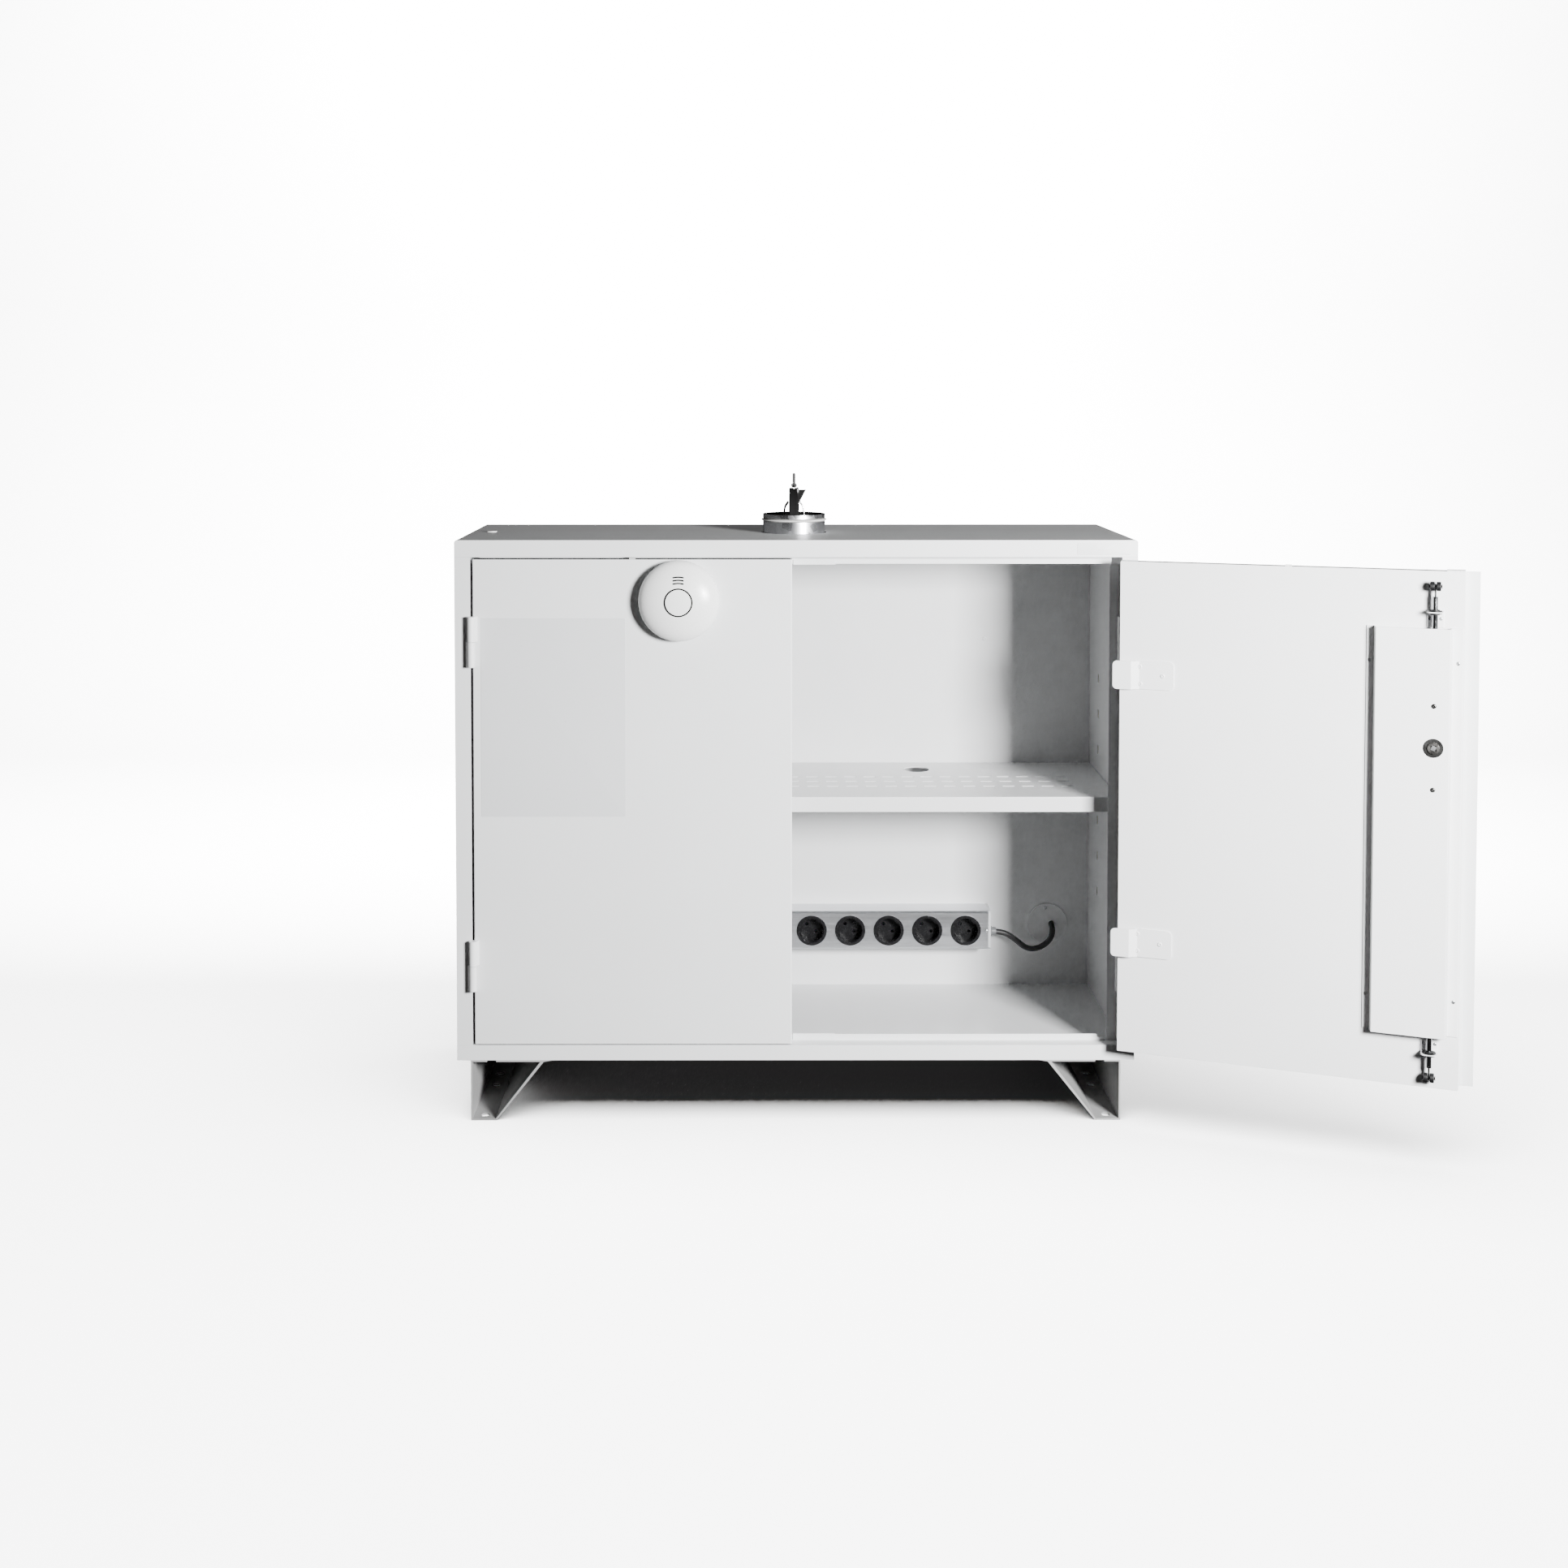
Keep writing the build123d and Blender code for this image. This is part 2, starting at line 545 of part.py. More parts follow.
# ---- socket strip ----
def strip_housing():
    """Aluminium channel with a bevelled front and a round hole for each socket."""
    half = STRIP_LENGTH / 2 - STRIP_CAP
    y0 = STRIP_FRONT
    y1 = INNER_BACK
    z0 = STRIP_BOTTOM
    z1 = STRIP_BOTTOM + STRIP_HEIGHT
    b = STRIP_BEVEL
    w = STRIP_WALL
    outline = [(y1, z0), (y1, z1), (y0 + b, z1), (y0, z1 - b), (y0, z0 + b), (y0 + b, z0)]
    inner = [(y1 - w, z0 + w), (y1 - w, z1 - w), (y0 + b, z1 - w), (y0 + w, z1 - b),
             (y0 + w, z0 + b), (y0 + b, z0 + w)]
    bar = plate_yz(outline, -half, half) - plate_yz(inner, -half, half)
    for x in socket_xs():
        bar -= drum_y(x, STRIP_MID_Z, y0 - 1, y0 + 2 * w, SOCKET_RADIUS - 1.0)
    return bar


def socket_xs():
    return [(i - (SOCKET_COUNT - 1) / 2) * SOCKET_PITCH for i in range(SOCKET_COUNT)]


def socket_insert():
    """One recessed socket at the origin, its face in the XZ plane, open towards -Y."""
    rim = drum_y(0, 0, -SOCKET_RIM, 0, SOCKET_RADIUS)
    cup = drum_y(0, 0, 0, SOCKET_RECESS_DEPTH + 2.5, SOCKET_RADIUS - 1.3)
    body = rim + cup
    body -= drum_y(0, 0, -2 * SOCKET_RIM, SOCKET_RECESS_DEPTH - SOCKET_RIM, SOCKET_RECESS_RADIUS)
    for side in (-1, 1):
        body -= drum_y(side * SOCKET_PIN_SPREAD, 0, 0, SOCKET_RECESS_DEPTH + 5, SOCKET_PIN_RADIUS)
    for side in (-1, 1):
        rib = block(-6, 6, SOCKET_RIM, SOCKET_RECESS_DEPTH, side * (SOCKET_RECESS_RADIUS - 2.2),
                    side * (SOCKET_RECESS_RADIUS + 0.5))
        body += rib & drum_y(0, 0, 0, SOCKET_RECESS_DEPTH, SOCKET_RADIUS - 1.5)
    return Rot(0, SOCKET_TWIST, 0) * body


def strip_sockets():
    """The socket inserts, all alike."""
    insert = socket_insert()
    return [Pos(x, STRIP_FRONT, STRIP_MID_Z) * insert for x in socket_xs()]


def strip_end_caps():
    """Bevelled caps that close the channel; the right one carries the gland."""
    half = STRIP_LENGTH / 2
    y0 = STRIP_FRONT
    b = STRIP_BEVEL
    z0 = STRIP_BOTTOM
    z1 = STRIP_BOTTOM + STRIP_HEIGHT
    outline = [(INNER_BACK, z0), (INNER_BACK, z1), (y0 + b, z1), (y0, z1 - b), (y0, z0 + b), (y0 + b, z0)]
    right = plate_yz(outline, half - STRIP_CAP, half)
    left = plate_yz(outline, -half, -half + STRIP_CAP)
    right -= drum_x(gland_y(), GLAND_Z, half - 2 * STRIP_CAP, half + 1, CABLE_RADIUS + 1.5)
    return [left, right]



def gland_y():
    return STRIP_FRONT + STRIP_DEPTH / 2


def cable_gland():
    """Screwed gland on the strip's right end: thread, hexagon and dome nut."""
    x0 = STRIP_LENGTH / 2
    y = gland_y()
    thread = drum_x(y, GLAND_Z, x0 - STRIP_CAP - 3, x0, CABLE_RADIUS + 1.5)
    hexagon = extrude(RegularPolygon(GLAND_RADIUS, 6), amount=4.0)
    hexagon = Pos(x0, y, GLAND_Z) * Rot(0, 90, 0) * hexagon
    dome = Pos(x0 + 4 + (GLAND_LENGTH - 4) / 2, y, GLAND_Z) * Rot(0, 90, 0) * Cone(
        GLAND_RADIUS - 1.2, CABLE_RADIUS + 1.2, GLAND_LENGTH - 4)
    body = thread + hexagon + dome
    return body - drum_x(y, GLAND_Z, x0 - STRIP_CAP - 5, x0 + GLAND_LENGTH + 1, CABLE_RADIUS)


def cable_route():
    """The supply cable's route from the gland to the wall entry."""
    x0 = STRIP_LENGTH / 2
    y = gland_y()
    return [
        (x0 - STRIP_CAP, y, GLAND_Z),
        (x0 + 21, y, GLAND_Z),
        (x0 + 42, y + 1, GLAND_Z - 13),
        (x0 + 60, y + 1, GLAND_Z - 29),
        (x0 + 81, y, GLAND_Z - 29),
        (ENTRY_X - 3, y + 1, GLAND_Z - 14),
        (ENTRY_X, y + 4, ENTRY_Z),
        (ENTRY_X, BACK, ENTRY_Z),
    ]


def supply_cable():
    """Round flex between the gland and the back wall."""
    points = [Vector(*p) for p in cable_route()]
    radii = []
    for before, here, after in zip(points, points[1:], points[2:]):
        run_in = here - before
        run_out = after - here
        turn = math.radians(run_in.get_angle(run_out))
        shortest = min(run_in.length, run_out.length)
        radii.append(ROUTE_SHARE * shortest / math.tan(turn / 2))
    print("cable radii", [round(r, 1) for r in radii])
    route = FilletPolyline(*points, radius=radii)
    start = Plane(origin=points[0], z_dir=points[1] - points[0])
    tube = sweep(start * Circle(CABLE_RADIUS), path=route)
    print("cable volume ratio", tube.volume / (route.length * math.pi * CABLE_RADIUS ** 2))
    return tube


def cable_entry():
    """Round cover over the hole in the back wall."""
    disc = drum_y(ENTRY_COVER_X, ENTRY_Z, INNER_BACK - ENTRY_SHEET, INNER_BACK, ENTRY_RADIUS)
    disc = fillet(disc.edges().group_by(Axis.Y)[0], 0.8)
    return disc - drum_y(ENTRY_X, ENTRY_Z, INNER_BACK - 5, INNER_BACK + 1, CABLE_RADIUS + 0.3)


# ---- duct spigot ----
def duct_spigot():
    """Rolled collar through the roof, beaded for a lip seal, flanged under the liner."""
    r = SPIGOT_RADIUS
    t = SPIGOT_SHEET
    z0 = INNER_ROOF - t
    z1 = SPIGOT_TOP
    seal1 = z1 - SEAL_DROP
    seal0 = seal1 - SEAL_WIDTH
    g = SEAL_GROOVE
    neck = r + SPIGOT_NECK
    outline = [(r - t, z0), (r + SPIGOT_FLANGE, z0), (r + SPIGOT_FLANGE, z0 + t), (neck, z0 + t),
               (neck, Z_TOP), (r, Z_TOP), (r, seal0), (r - g, seal0), (r - g, seal1), (r, seal1), (r, z1),
               (r - t, z1),
               (r - t, seal1 + t), (r - g - t, seal1 + t), (r - g - t, seal0 - t), (r - t, seal0 - t)]
    face = make_face(Polyline(*[(x, 0, z) for x, z in outline], close=True))
    return revolve(face, Axis.Z)


def duct_seal():
    """Rubber ring in the bead."""
    z1 = SPIGOT_TOP - SEAL_DROP
    z0 = z1 - SEAL_WIDTH
    r = SPIGOT_RADIUS
    outline = [(r - SEAL_GROOVE, z0), (r, z0), (r, z1), (r - SEAL_GROOVE, z1)]
    face = make_face(Polyline(*[(x, 0, z) for x, z in outline], close=True))
    return revolve(face, Axis.Z)


def damper_frame():
    """Ring of the fire damper with its cross bar and the post that holds the link."""
    r = DAMPER_RADIUS
    z1 = SPIGOT_TOP
    z0 = INNER_ROOF
    ring = drum_z(0, 0, z0, z1, r) - drum_z(0, 0, z0 - 1, z1 + 1, r - DAMPER_SHEET)
    h = BLADE_HINGE_Z
    bar = block(-BLADE_GAP + 0.2, BLADE_GAP - 0.2, -r + 0.3, r - 0.3, h - DAMPER_BAR - 3, h - DAMPER_BAR)
    post = block(-POST_HALF, POST_HALF, -7, 7, h - DAMPER_BAR, BLADE_TOP + DAMPER_POST_TOP)
    return ring + bar + post


def damper_blade():
    """Right half-moon blade, folded up beside the post."""
    r = BLADE_RADIUS
    h = BLADE_HINGE_Z
    disc = drum_x(0, h, BLADE_GAP, BLADE_GAP + BLADE_THICK, r)
    blade = disc & block(0, 20, -r, r, h + BLADE_GAP + 0.5, h + r + 1)
    return fillet(blade.edges().filter_by(Axis.X), 2.0)


def blade_gusset():
    """Three-cornered stiffener that stands on the right blade's outer face."""
    x0 = BLADE_GAP + BLADE_THICK
    top = BLADE_HINGE_Z + GUSSET_RISE
    foot = top - GUSSET_HEIGHT
    outline = [(x0 - 0.5, foot), (x0 - 0.5, top), (GUSSET_REACH, top), (x0 + 2, foot)]
    return plate_xz(outline, -GUSSET_SHEET / 2, GUSSET_SHEET / 2)


def damper_springs():
    """Bent wires that snap the blades down once the link lets go."""
    springs = []
    h = BLADE_HINGE_Z
    inside = math.sqrt((DAMPER_RADIUS - DAMPER_SHEET) ** 2 - SPRING_Y ** 2)
    for side in (-1, 1):
        for y in (-SPRING_Y, SPRING_Y):
            start = (side * (BLADE_GAP + BLADE_THICK + SPRING_WIRE / 2 + DAMPER_PLAY), y, h + SPRING_RISE)
            shoulder = (side * SPRING_OUT, y, h + SPRING_RISE / 2)
            knee = (side * SPRING_OUT, y, h - SPRING_DROP)
            end = (side * (inside - SPRING_WIRE), y, h - SPRING_DROP)
            path = FilletPolyline(start, shoulder, knee, end, radius=SPRING_RADIUS)
            section = Plane(origin=start, z_dir=Vector(*shoulder) - Vector(*start)) * Circle(SPRING_WIRE / 2)
            springs.append(sweep(section, path=path))
    return springs


def fusible_link():
    """Two leaves soldered together, astride the post above the blades."""
    z0 = BLADE_TOP + LINK_FOOT
    z1 = BLADE_TOP + DAMPER_POST_TOP
    half = POST_HALF
    leaf = block(-half - LINK_THICK, -half, -5, 5, z0, BLADE_TOP + LINK_TOP)
    other = block(half, half + LINK_THICK, -5, 5, z0, z1 + 3)
    bridge = block(-half, half, -5, 5, z1, z1 + 3)
    return leaf + other + bridge


# ---- doors ----
def door_tray(x0, x1, bore=None):
    """Outer skin folded to a tray, closed inner skin and board core, flat on the front."""
    z0 = DOOR_BOTTOM
    z1 = DOOR_TOP
    t = DOOR_SHEET
    y0 = FRONT
    y1 = DOOR_INNER_Y
    skin = block(x0, x1, y0, y1 - t, z0, z1)
    skin = fillet(skin.edges().filter_by(Axis.Z).group_by(Axis.Y)[0], DOOR_EDGE_RADIUS)
    skin -= block(x0 + t, x1 - t, y0 + t, y1 - t, z0 + t, z1 - t)
    inner = block(x0, x1, y1 - t, y1, z0, z1)
    inner = fillet(inner.edges().filter_by(Axis.Y), DOOR_EDGE_RADIUS)
    core = block(x0 + t, x1 - t, y0 + t, y1 - t, z0 + t, z1 - t)
    core = fillet(core.edges().filter_by(Axis.Z).group_by(Axis.Y)[0], 0.3)
    pieces = [skin, inner, core]
    if bore:
        hole = drum_y(LOCK_X, LOCK_Z, y0 - 1, y1 + 1, bore)
        pieces = [piece - hole for piece in pieces]
    return pieces


def door_lip():
    """Joggled strip on the right door's free edge that laps the left door."""
    t = DOOR_SHEET
    x0 = DOOR_FREE_EDGE
    x1 = x0 - LIP_REACH
    y = FRONT
    j = LIP_JOGGLE
    outline = [(x0 + 0.2, y), (x0 - 3, y), (x0 - 5, y - j), (x1, y - j), (x1, y - j + t),
               (x0 - 4.4, y - j + t), (x0 - 2.4, y + t), (x0 + 0.2, y + t)]
    return plate_xy(outline, DOOR_BOTTOM + 2, DOOR_TOP - 1)


def door_tab():
    """Stop tab on the right door's top edge."""
    inset = DOOR_THICK / 6
    return block(*TAB_X, FRONT + inset, DOOR_INNER_Y - inset, DOOR_TOP - DOOR_SHEET / 2, DOOR_TOP + TAB_RISE)


def door_knuckles(side):
    """Upper halves of the lift-off hinges, welded to the door's face."""
    return [hinge_half(side, z + HINGE_GAP / 2, z + HINGE_LENGTH / 2, -side, True)
            for z in (LOWER_HINGE_Z, UPPER_HINGE_Z)]


def frame_knuckles():
    """Lower halves with their pins, welded to the stiles."""
    halves = []
    for side in (-1, 1):
        for z in (LOWER_HINGE_Z, UPPER_HINGE_Z):
            halves.append(hinge_half(side, z - HINGE_LENGTH / 2, z - HINGE_GAP / 2, side, False))
    return halves


def hinge_half(side, z0, z1, tail_side, bored):
    """Barrel with a wedge-shaped weld tail; bored for the pin or carrying it."""
    x = side * HINGE_X
    barrel = drum_z(x, HINGE_Y, z0, z1, HINGE_RADIUS)
    near = x + tail_side * (DOOR_GAP / 2 + HINGE_TAIL_GAP)
    far = x + tail_side * HINGE_TAIL
    brow = HINGE_Y - HINGE_TAIL_BROW
    wedge = plate_xy([(x, brow), (x, FRONT - HINGE_TAIL_GAP * 5), (near, FRONT), (far, FRONT),
                      (x + tail_side * HINGE_RADIUS * 0.8, brow)], z0, z1)
    half = barrel + wedge
    if bored:
        return half - drum_z(x, HINGE_Y, z0 - 1, z0 + HINGE_BORE_DEPTH, HINGE_PIN_RADIUS + HINGE_FIT)
    return half + drum_z(x, HINGE_Y, z1, z1 + HINGE_PIN_LENGTH, HINGE_PIN_RADIUS)


def door_hooks(side):
    """Joggled plates that reach behind the stile's stop when the door is shut."""
    edge = DOOR_HINGE_EDGE
    y0 = DOOR_INNER_Y
    t = HOOK_SHEET
    rise = HOOK_RISE
    outline = [(edge - HOOK_INNER, y0), (edge - HOOK_JOGGLE_START, y0), (edge - HOOK_JOGGLE_END, y0 + rise),
               (edge + HOOK_OUTER, y0 + rise), (edge + HOOK_OUTER, y0 + rise + t),
               (edge - HOOK_JOGGLE_END - 0.8, y0 + rise + t), (edge - HOOK_JOGGLE_START - 0.8, y0 + t),
               (edge - HOOK_INNER, y0 + t)]
    hooks = []
    for z in (LOWER_HOOK_Z, UPPER_HOOK_Z):
        plate = plate_xy(outline, z - HOOK_HEIGHT / 2, z + HOOK_HEIGHT / 2)
        corners = plate.edges().filter_by(Axis.Y)
        plate = fillet(corners, HOOK_CORNER)
        hooks.append(plate if side > 0 else mirrored(plate))
    return hooks


def door_catch(side):
    """Spring buffer in the door's top edge."""
    x = side * CATCH_X
    y = FRONT + DOOR_THICK / 2
    return block(x - CATCH_WIDTH / 2, x + CATCH_WIDTH / 2, y - 4, y + 4, DOOR_TOP, DOOR_TOP + CATCH_RISE)


# ---- lock ----
def lock_cover():
    """Hat-shaped cover over the lock and rods."""
    y0 = DOOR_INNER_Y
    y1 = HAT_Y
    t = HAT_SHEET
    e0, e1 = HAT_EDGES
    f0, f1 = HAT_FACE
    s = HAT_SLOPE
    outline = [(e0, y0), (f0 - s + t, y0), (f0 + t, y1 - t), (f1 - t, y1 - t), (f1 + s - t, y0), (e1, y0),
               (e1, y0 + t), (f1 + s, y0 + t), (f1, y1), (f0, y1), (f0 - s, y0 + t), (e0, y0 + t)]
    hat = plate_xy(outline, *HAT_Z)
    ridge = hat.edges().filter_by(Axis.Z).group_by(Axis.Y)[-1]
    hat = fillet(ridge, 1.2)
    return hat - drum_y(LOCK_X, LOCK_Z, y0, y1 + 1, CAM_HUB_RADIUS + 1.5)


def lock_plate():
    """Bearing plate of the cam, on the door's inner skin."""
    w, h, t = LOCK_PLATE
    y0 = DOOR_INNER_Y
    plate = block(LOCK_X - w / 2, LOCK_X + w / 2, y0, y0 + t, LOCK_Z - h / 2, LOCK_Z + h / 2)
    plate = fillet(plate.edges().filter_by(Axis.Y), 5.0)
    return plate - drum_y(LOCK_X, LOCK_Z, y0 - 1, y0 + t + 1, CAM_HUB_RADIUS + 0.06)


def lock_screws():
    """The two screws that hold cover, plate and handle rose together."""
    screws = []
    for side in (-1, 1):
        z = LOCK_Z + side * SCREW_SPREAD
        head = drum_y(LOCK_X, z, HAT_Y, HAT_Y + 2.2, 3.6)
        screws.append(fillet(head.edges().group_by(Axis.Y)[-1], 1.2))
    return screws


def lock_washer():
    """Washer round the cam's boss on the cover."""
    y0 = HAT_Y
    disc = drum_y(LOCK_X, LOCK_Z, y0, y0 + 1.2, WASHER_RADIUS)
    return disc - drum_y(LOCK_X, LOCK_Z, y0 - 1, y0 + 2, CAM_HUB_RADIUS + 0.3)


def lock_cam():
    """Cam on the spindle: hub, disc and two drive pins for the rods."""
    plate_t = LOCK_PLATE[2]
    y0 = DOOR_INNER_Y
    hub = drum_y(LOCK_X, LOCK_Z, y0 + 0.2, HAT_Y + 1.4, CAM_HUB_RADIUS)
    disc = drum_y(LOCK_X, LOCK_Z, y0 + plate_t + 0.3, y0 + plate_t + 0.3 + CAM_THICK, CAM_RADIUS)
    boss = extrude(RegularPolygon(BOSS_FLATS / 2, 8, major_radius=False), amount=2.2)
    boss = Pos(LOCK_X, HAT_Y + 3.6, LOCK_Z) * Rot(90, 0, 0) * boss
    cam = hub + disc + boss
    for angle in (225, 45):
        a = math.radians(angle)
        x = LOCK_X + CAM_PIN_CIRCLE * math.cos(a)
        z = LOCK_Z + CAM_PIN_CIRCLE * math.sin(a)
        cam += drum_y(x, z, y0 + plate_t + 1, ROD_Y + YOKE_SHEET / 2 + 0.8, CAM_PIN_RADIUS)
    half = SPINDLE_SQUARE / 2 + SPINDLE_PLAY
    bore = block(LOCK_X - half, LOCK_X + half, y0 - 1, HAT_Y + 5, LOCK_Z - half, LOCK_Z + half)
    return cam - bore


def lock_spindle():
    """Square bar between the handle and the cam."""
    half = SPINDLE_SQUARE / 2
    y0 = FRONT - HANDLE_PLATE[2] - 10
    return block(LOCK_X - half, LOCK_X + half, y0, HAT_Y + 2.5, LOCK_Z - half, LOCK_Z + half)


def lock_rod(upper):
    """Round bar with a yoke round the cam's pin and a flattened, bored end for the rollers."""
    y = ROD_Y
    roller_z = TOP_ROLLER_Z if upper else BOTTOM_ROLLER_Z
    way = 1 if upper else -1
    pin_x = LOCK_X - way * CAM_PIN_CIRCLE / math.sqrt(2)
    pin_z = LOCK_Z - way * CAM_PIN_CIRCLE / math.sqrt(2)
    bridge0 = LOCK_Z + way * (CAM_RADIUS + 4)
    bridge1 = bridge0 + way * 10
    flat_z = roller_z - way * 14
    bar = drum_z(LOCK_X, y, min(bridge0, flat_z), max(bridge0, flat_z), ROD_RADIUS)
    flat = block(LOCK_X - ROD_FLAT / 2, LOCK_X + ROD_FLAT / 2, y - ROD_RADIUS, y + ROD_RADIUS,
                 flat_z - way * 2, roller_z + way * 3.5)
    flat = fillet(flat.edges().filter_by(Axis.X).group_by(Axis.Z)[-1 if upper else 0], 3.0)
    axle_half = ROD_FLAT / 2 + ROLLER_WIDTH + 1.6
    axle = drum_x(y, roller_z, LOCK_X - axle_half, LOCK_X + axle_half, AXLE_RADIUS)
    for side in (-1, 1):
        x_mid = LOCK_X + side * (axle_half - AXLE_HEAD_SHEET / 2)
        axle += drum_x(y, roller_z, x_mid - AXLE_HEAD_SHEET / 2, x_mid + AXLE_HEAD_SHEET / 2, AXLE_HEAD)
    arm_x0 = LOCK_X - way * (CAM_HUB_RADIUS + 1.0)
    arm_x1 = LOCK_X - way * (CAM_PIN_CIRCLE + CAM_PIN_RADIUS + YOKE_PLAY + YOKE_WALL)
    y0 = y - YOKE_SHEET / 2
    y1 = y + YOKE_SHEET / 2
    low = pin_z - way * (CAM_PIN_RADIUS + YOKE_PLAY + 4)
    arm = block(arm_x0, arm_x1, y0, y1, low, bridge1)
    bridge = block(LOCK_X + way * ROD_RADIUS, arm_x1, y0, y1, bridge0, bridge1)
    fork = block(arm_x0 + way, LOCK_X - way * (CAM_PIN_CIRCLE + CAM_PIN_RADIUS + YOKE_PLAY), y0 - 1, y1 + 1,
                 pin_z - CAM_PIN_RADIUS - YOKE_PLAY, pin_z + CAM_PIN_RADIUS + YOKE_PLAY)
    return bar + flat + axle + arm + bridge - fork


def lock_rollers(upper):
    """Pair of rollers, one each side of the flattened rod end."""
    z = TOP_ROLLER_Z if upper else BOTTOM_ROLLER_Z
    rollers = []
    for side in (-1, 1):
        x0 = LOCK_X + side * (ROD_FLAT / 2 + 0.2)
        x1 = x0 + side * (ROLLER_WIDTH - 0.2)
        roller = drum_x(ROD_Y, z, min(x0, x1), max(x0, x1), ROLLER_RADIUS)
        roller = fillet(roller.edges().filter_by(GeomType.CIRCLE), 1.0)
        rollers.append(roller - drum_x(ROD_Y, z, LOCK_X - 20, LOCK_X + 20, ROLLER_BORE))
    return rollers


def rod_guides():
    """Angle brackets on the door, each with a bush for its rod."""
    guides = []
    for z, way in ((TOP_GUIDE_Z, 1), (BOTTOM_GUIDE_Z, -1)):
        x0 = LOCK_X - GUIDE_WIDTH / 2
        x1 = LOCK_X + GUIDE_WIDTH / 2
        y0 = DOOR_INNER_Y
        shelf_part = block(x0, x1, y0, y0 + GUIDE_DEPTH, z - HAT_SHEET / 2, z + HAT_SHEET / 2)
        foot_part = block(x0, x1, y0, y0 + HAT_SHEET, z, z - way * GUIDE_FOOT)
        guide = shelf_part + foot_part
        guide = fillet(guide.edges().filter_by(Axis.Z).group_by(Axis.Y)[-1], 5.0)
        guides.append(guide - drum_z(LOCK_X, ROD_Y, z - 5, z + 5, BUSH_RADIUS))
    return guides


def guide_bushes():
    """Flanged plastic bushes the rods slide in."""
    bushes = []
    for z in (TOP_GUIDE_Z, BOTTOM_GUIDE_Z):
        body = drum_z(LOCK_X, ROD_Y, z - BUSH_HEIGHT / 2, z + BUSH_HEIGHT / 2, BUSH_RADIUS)
        for side in (-1, 1):
            z0 = z + side * HAT_SHEET / 2
            z1 = z0 + side * 1.5
            body += drum_z(LOCK_X, ROD_Y, min(z0, z1), max(z0, z1), BUSH_FLANGE)
        bushes.append(body - drum_z(LOCK_X, ROD_Y, z - 10, z + 10, ROD_RADIUS + BUSH_CLEARANCE))
    return bushes


def handle_rose():
    """Plate under the handle on the door's outer face."""
    w, h, t = HANDLE_PLATE
    plate = block(LOCK_X - w / 2, LOCK_X + w / 2, FRONT - t, FRONT, LOCK_Z - h / 2, LOCK_Z + h / 2)
    plate = fillet(plate.edges().filter_by(Axis.Y), w / 2 - 1)
    plate = fillet(plate.edges().group_by(Axis.Y)[0], 2.0)
    return plate - drum_y(LOCK_X, LOCK_Z, FRONT - t - 1, FRONT + 1, SPINDLE_SQUARE * 0.75 + 1)


def lock_handle():
    """L-handle: hub on the spindle, neck and rounded grip towards the hinge side."""
    t = HANDLE_PLATE[2]
    y_hub = FRONT - t - 0.3
    y_grip = FRONT - t - HANDLE_STANDOFF
    gw, gt = HANDLE_GRIP
    hub = drum_y(LOCK_X, LOCK_Z, y_grip - gt / 2, y_hub, HANDLE_HUB_RADIUS)
    hub = fillet(hub.edges().group_by(Axis.Y)[0], 2.5)
    grip = block(LOCK_X, LOCK_X + HANDLE_LENGTH, y_grip - gt / 2, y_grip + gt / 2,
                 LOCK_Z - gw / 2, LOCK_Z + gw / 2)
    grip = fillet(grip.edges().filter_by(Axis.Y).group_by(Axis.X)[-1], gw / 2 - 1)
    grip = fillet(grip.edges().filter_by(Axis.X), 3.0)
    body = hub + grip
    half = SPINDLE_SQUARE / 2
    socket = block(LOCK_X - half, LOCK_X + half, FRONT - t - 10, FRONT, LOCK_Z - half, LOCK_Z + half)
    plug_y = y_grip - gt / 2
    bore = drum_y(LOCK_X, LOCK_Z, plug_y - 1, plug_y + KEY_PLUG_DEPTH + 0.2, KEY_PLUG_RADIUS + 0.05)
    return body - socket - bore


def key_plug():
    """Turning plug of the key lock in the handle's hub."""
    y0 = FRONT - HANDLE_PLATE[2] - HANDLE_STANDOFF - HANDLE_GRIP[1] / 2
    plug = drum_y(LOCK_X, LOCK_Z, y0 - 0.4, y0 + KEY_PLUG_DEPTH, KEY_PLUG_RADIUS)
    slot = block(LOCK_X - 0.9, LOCK_X + 0.9, y0 - 2, y0 + 9, LOCK_Z - 4.2, LOCK_Z + 4.2)
    return plug - slot


# ---- smoke alarm ----
def alarm_profile(points):
    """Turn a profile of radius and distance from the door about the alarm's axis."""
    face = make_face(Polyline(*[(r, -d, 0) for r, d in points], close=True))
    solid = revolve(face, Axis.Y)
    return Pos(ALARM_X, FRONT, ALARM_Z) * solid


def alarm_base():
    r = ALARM_RADIUS - ALARM_BASE_INSET
    return alarm_profile([(0, 0), (r, 0), (r, ALARM_BASE), (0, ALARM_BASE)])


def dome_section(radius, shrink):
    """Points of the shell's elliptic section between a radius and the skirt."""
    wide = ALARM_RADIUS - shrink
    high = ALARM_HEIGHT - ALARM_SKIRT - shrink
    first = math.acos(radius / wide)
    turns = [first * (1 - i / DOME_POINTS) for i in range(DOME_POINTS + 1)]
    return [(wide * math.cos(turn), -ALARM_SKIRT - high * math.sin(turn)) for turn in turns]


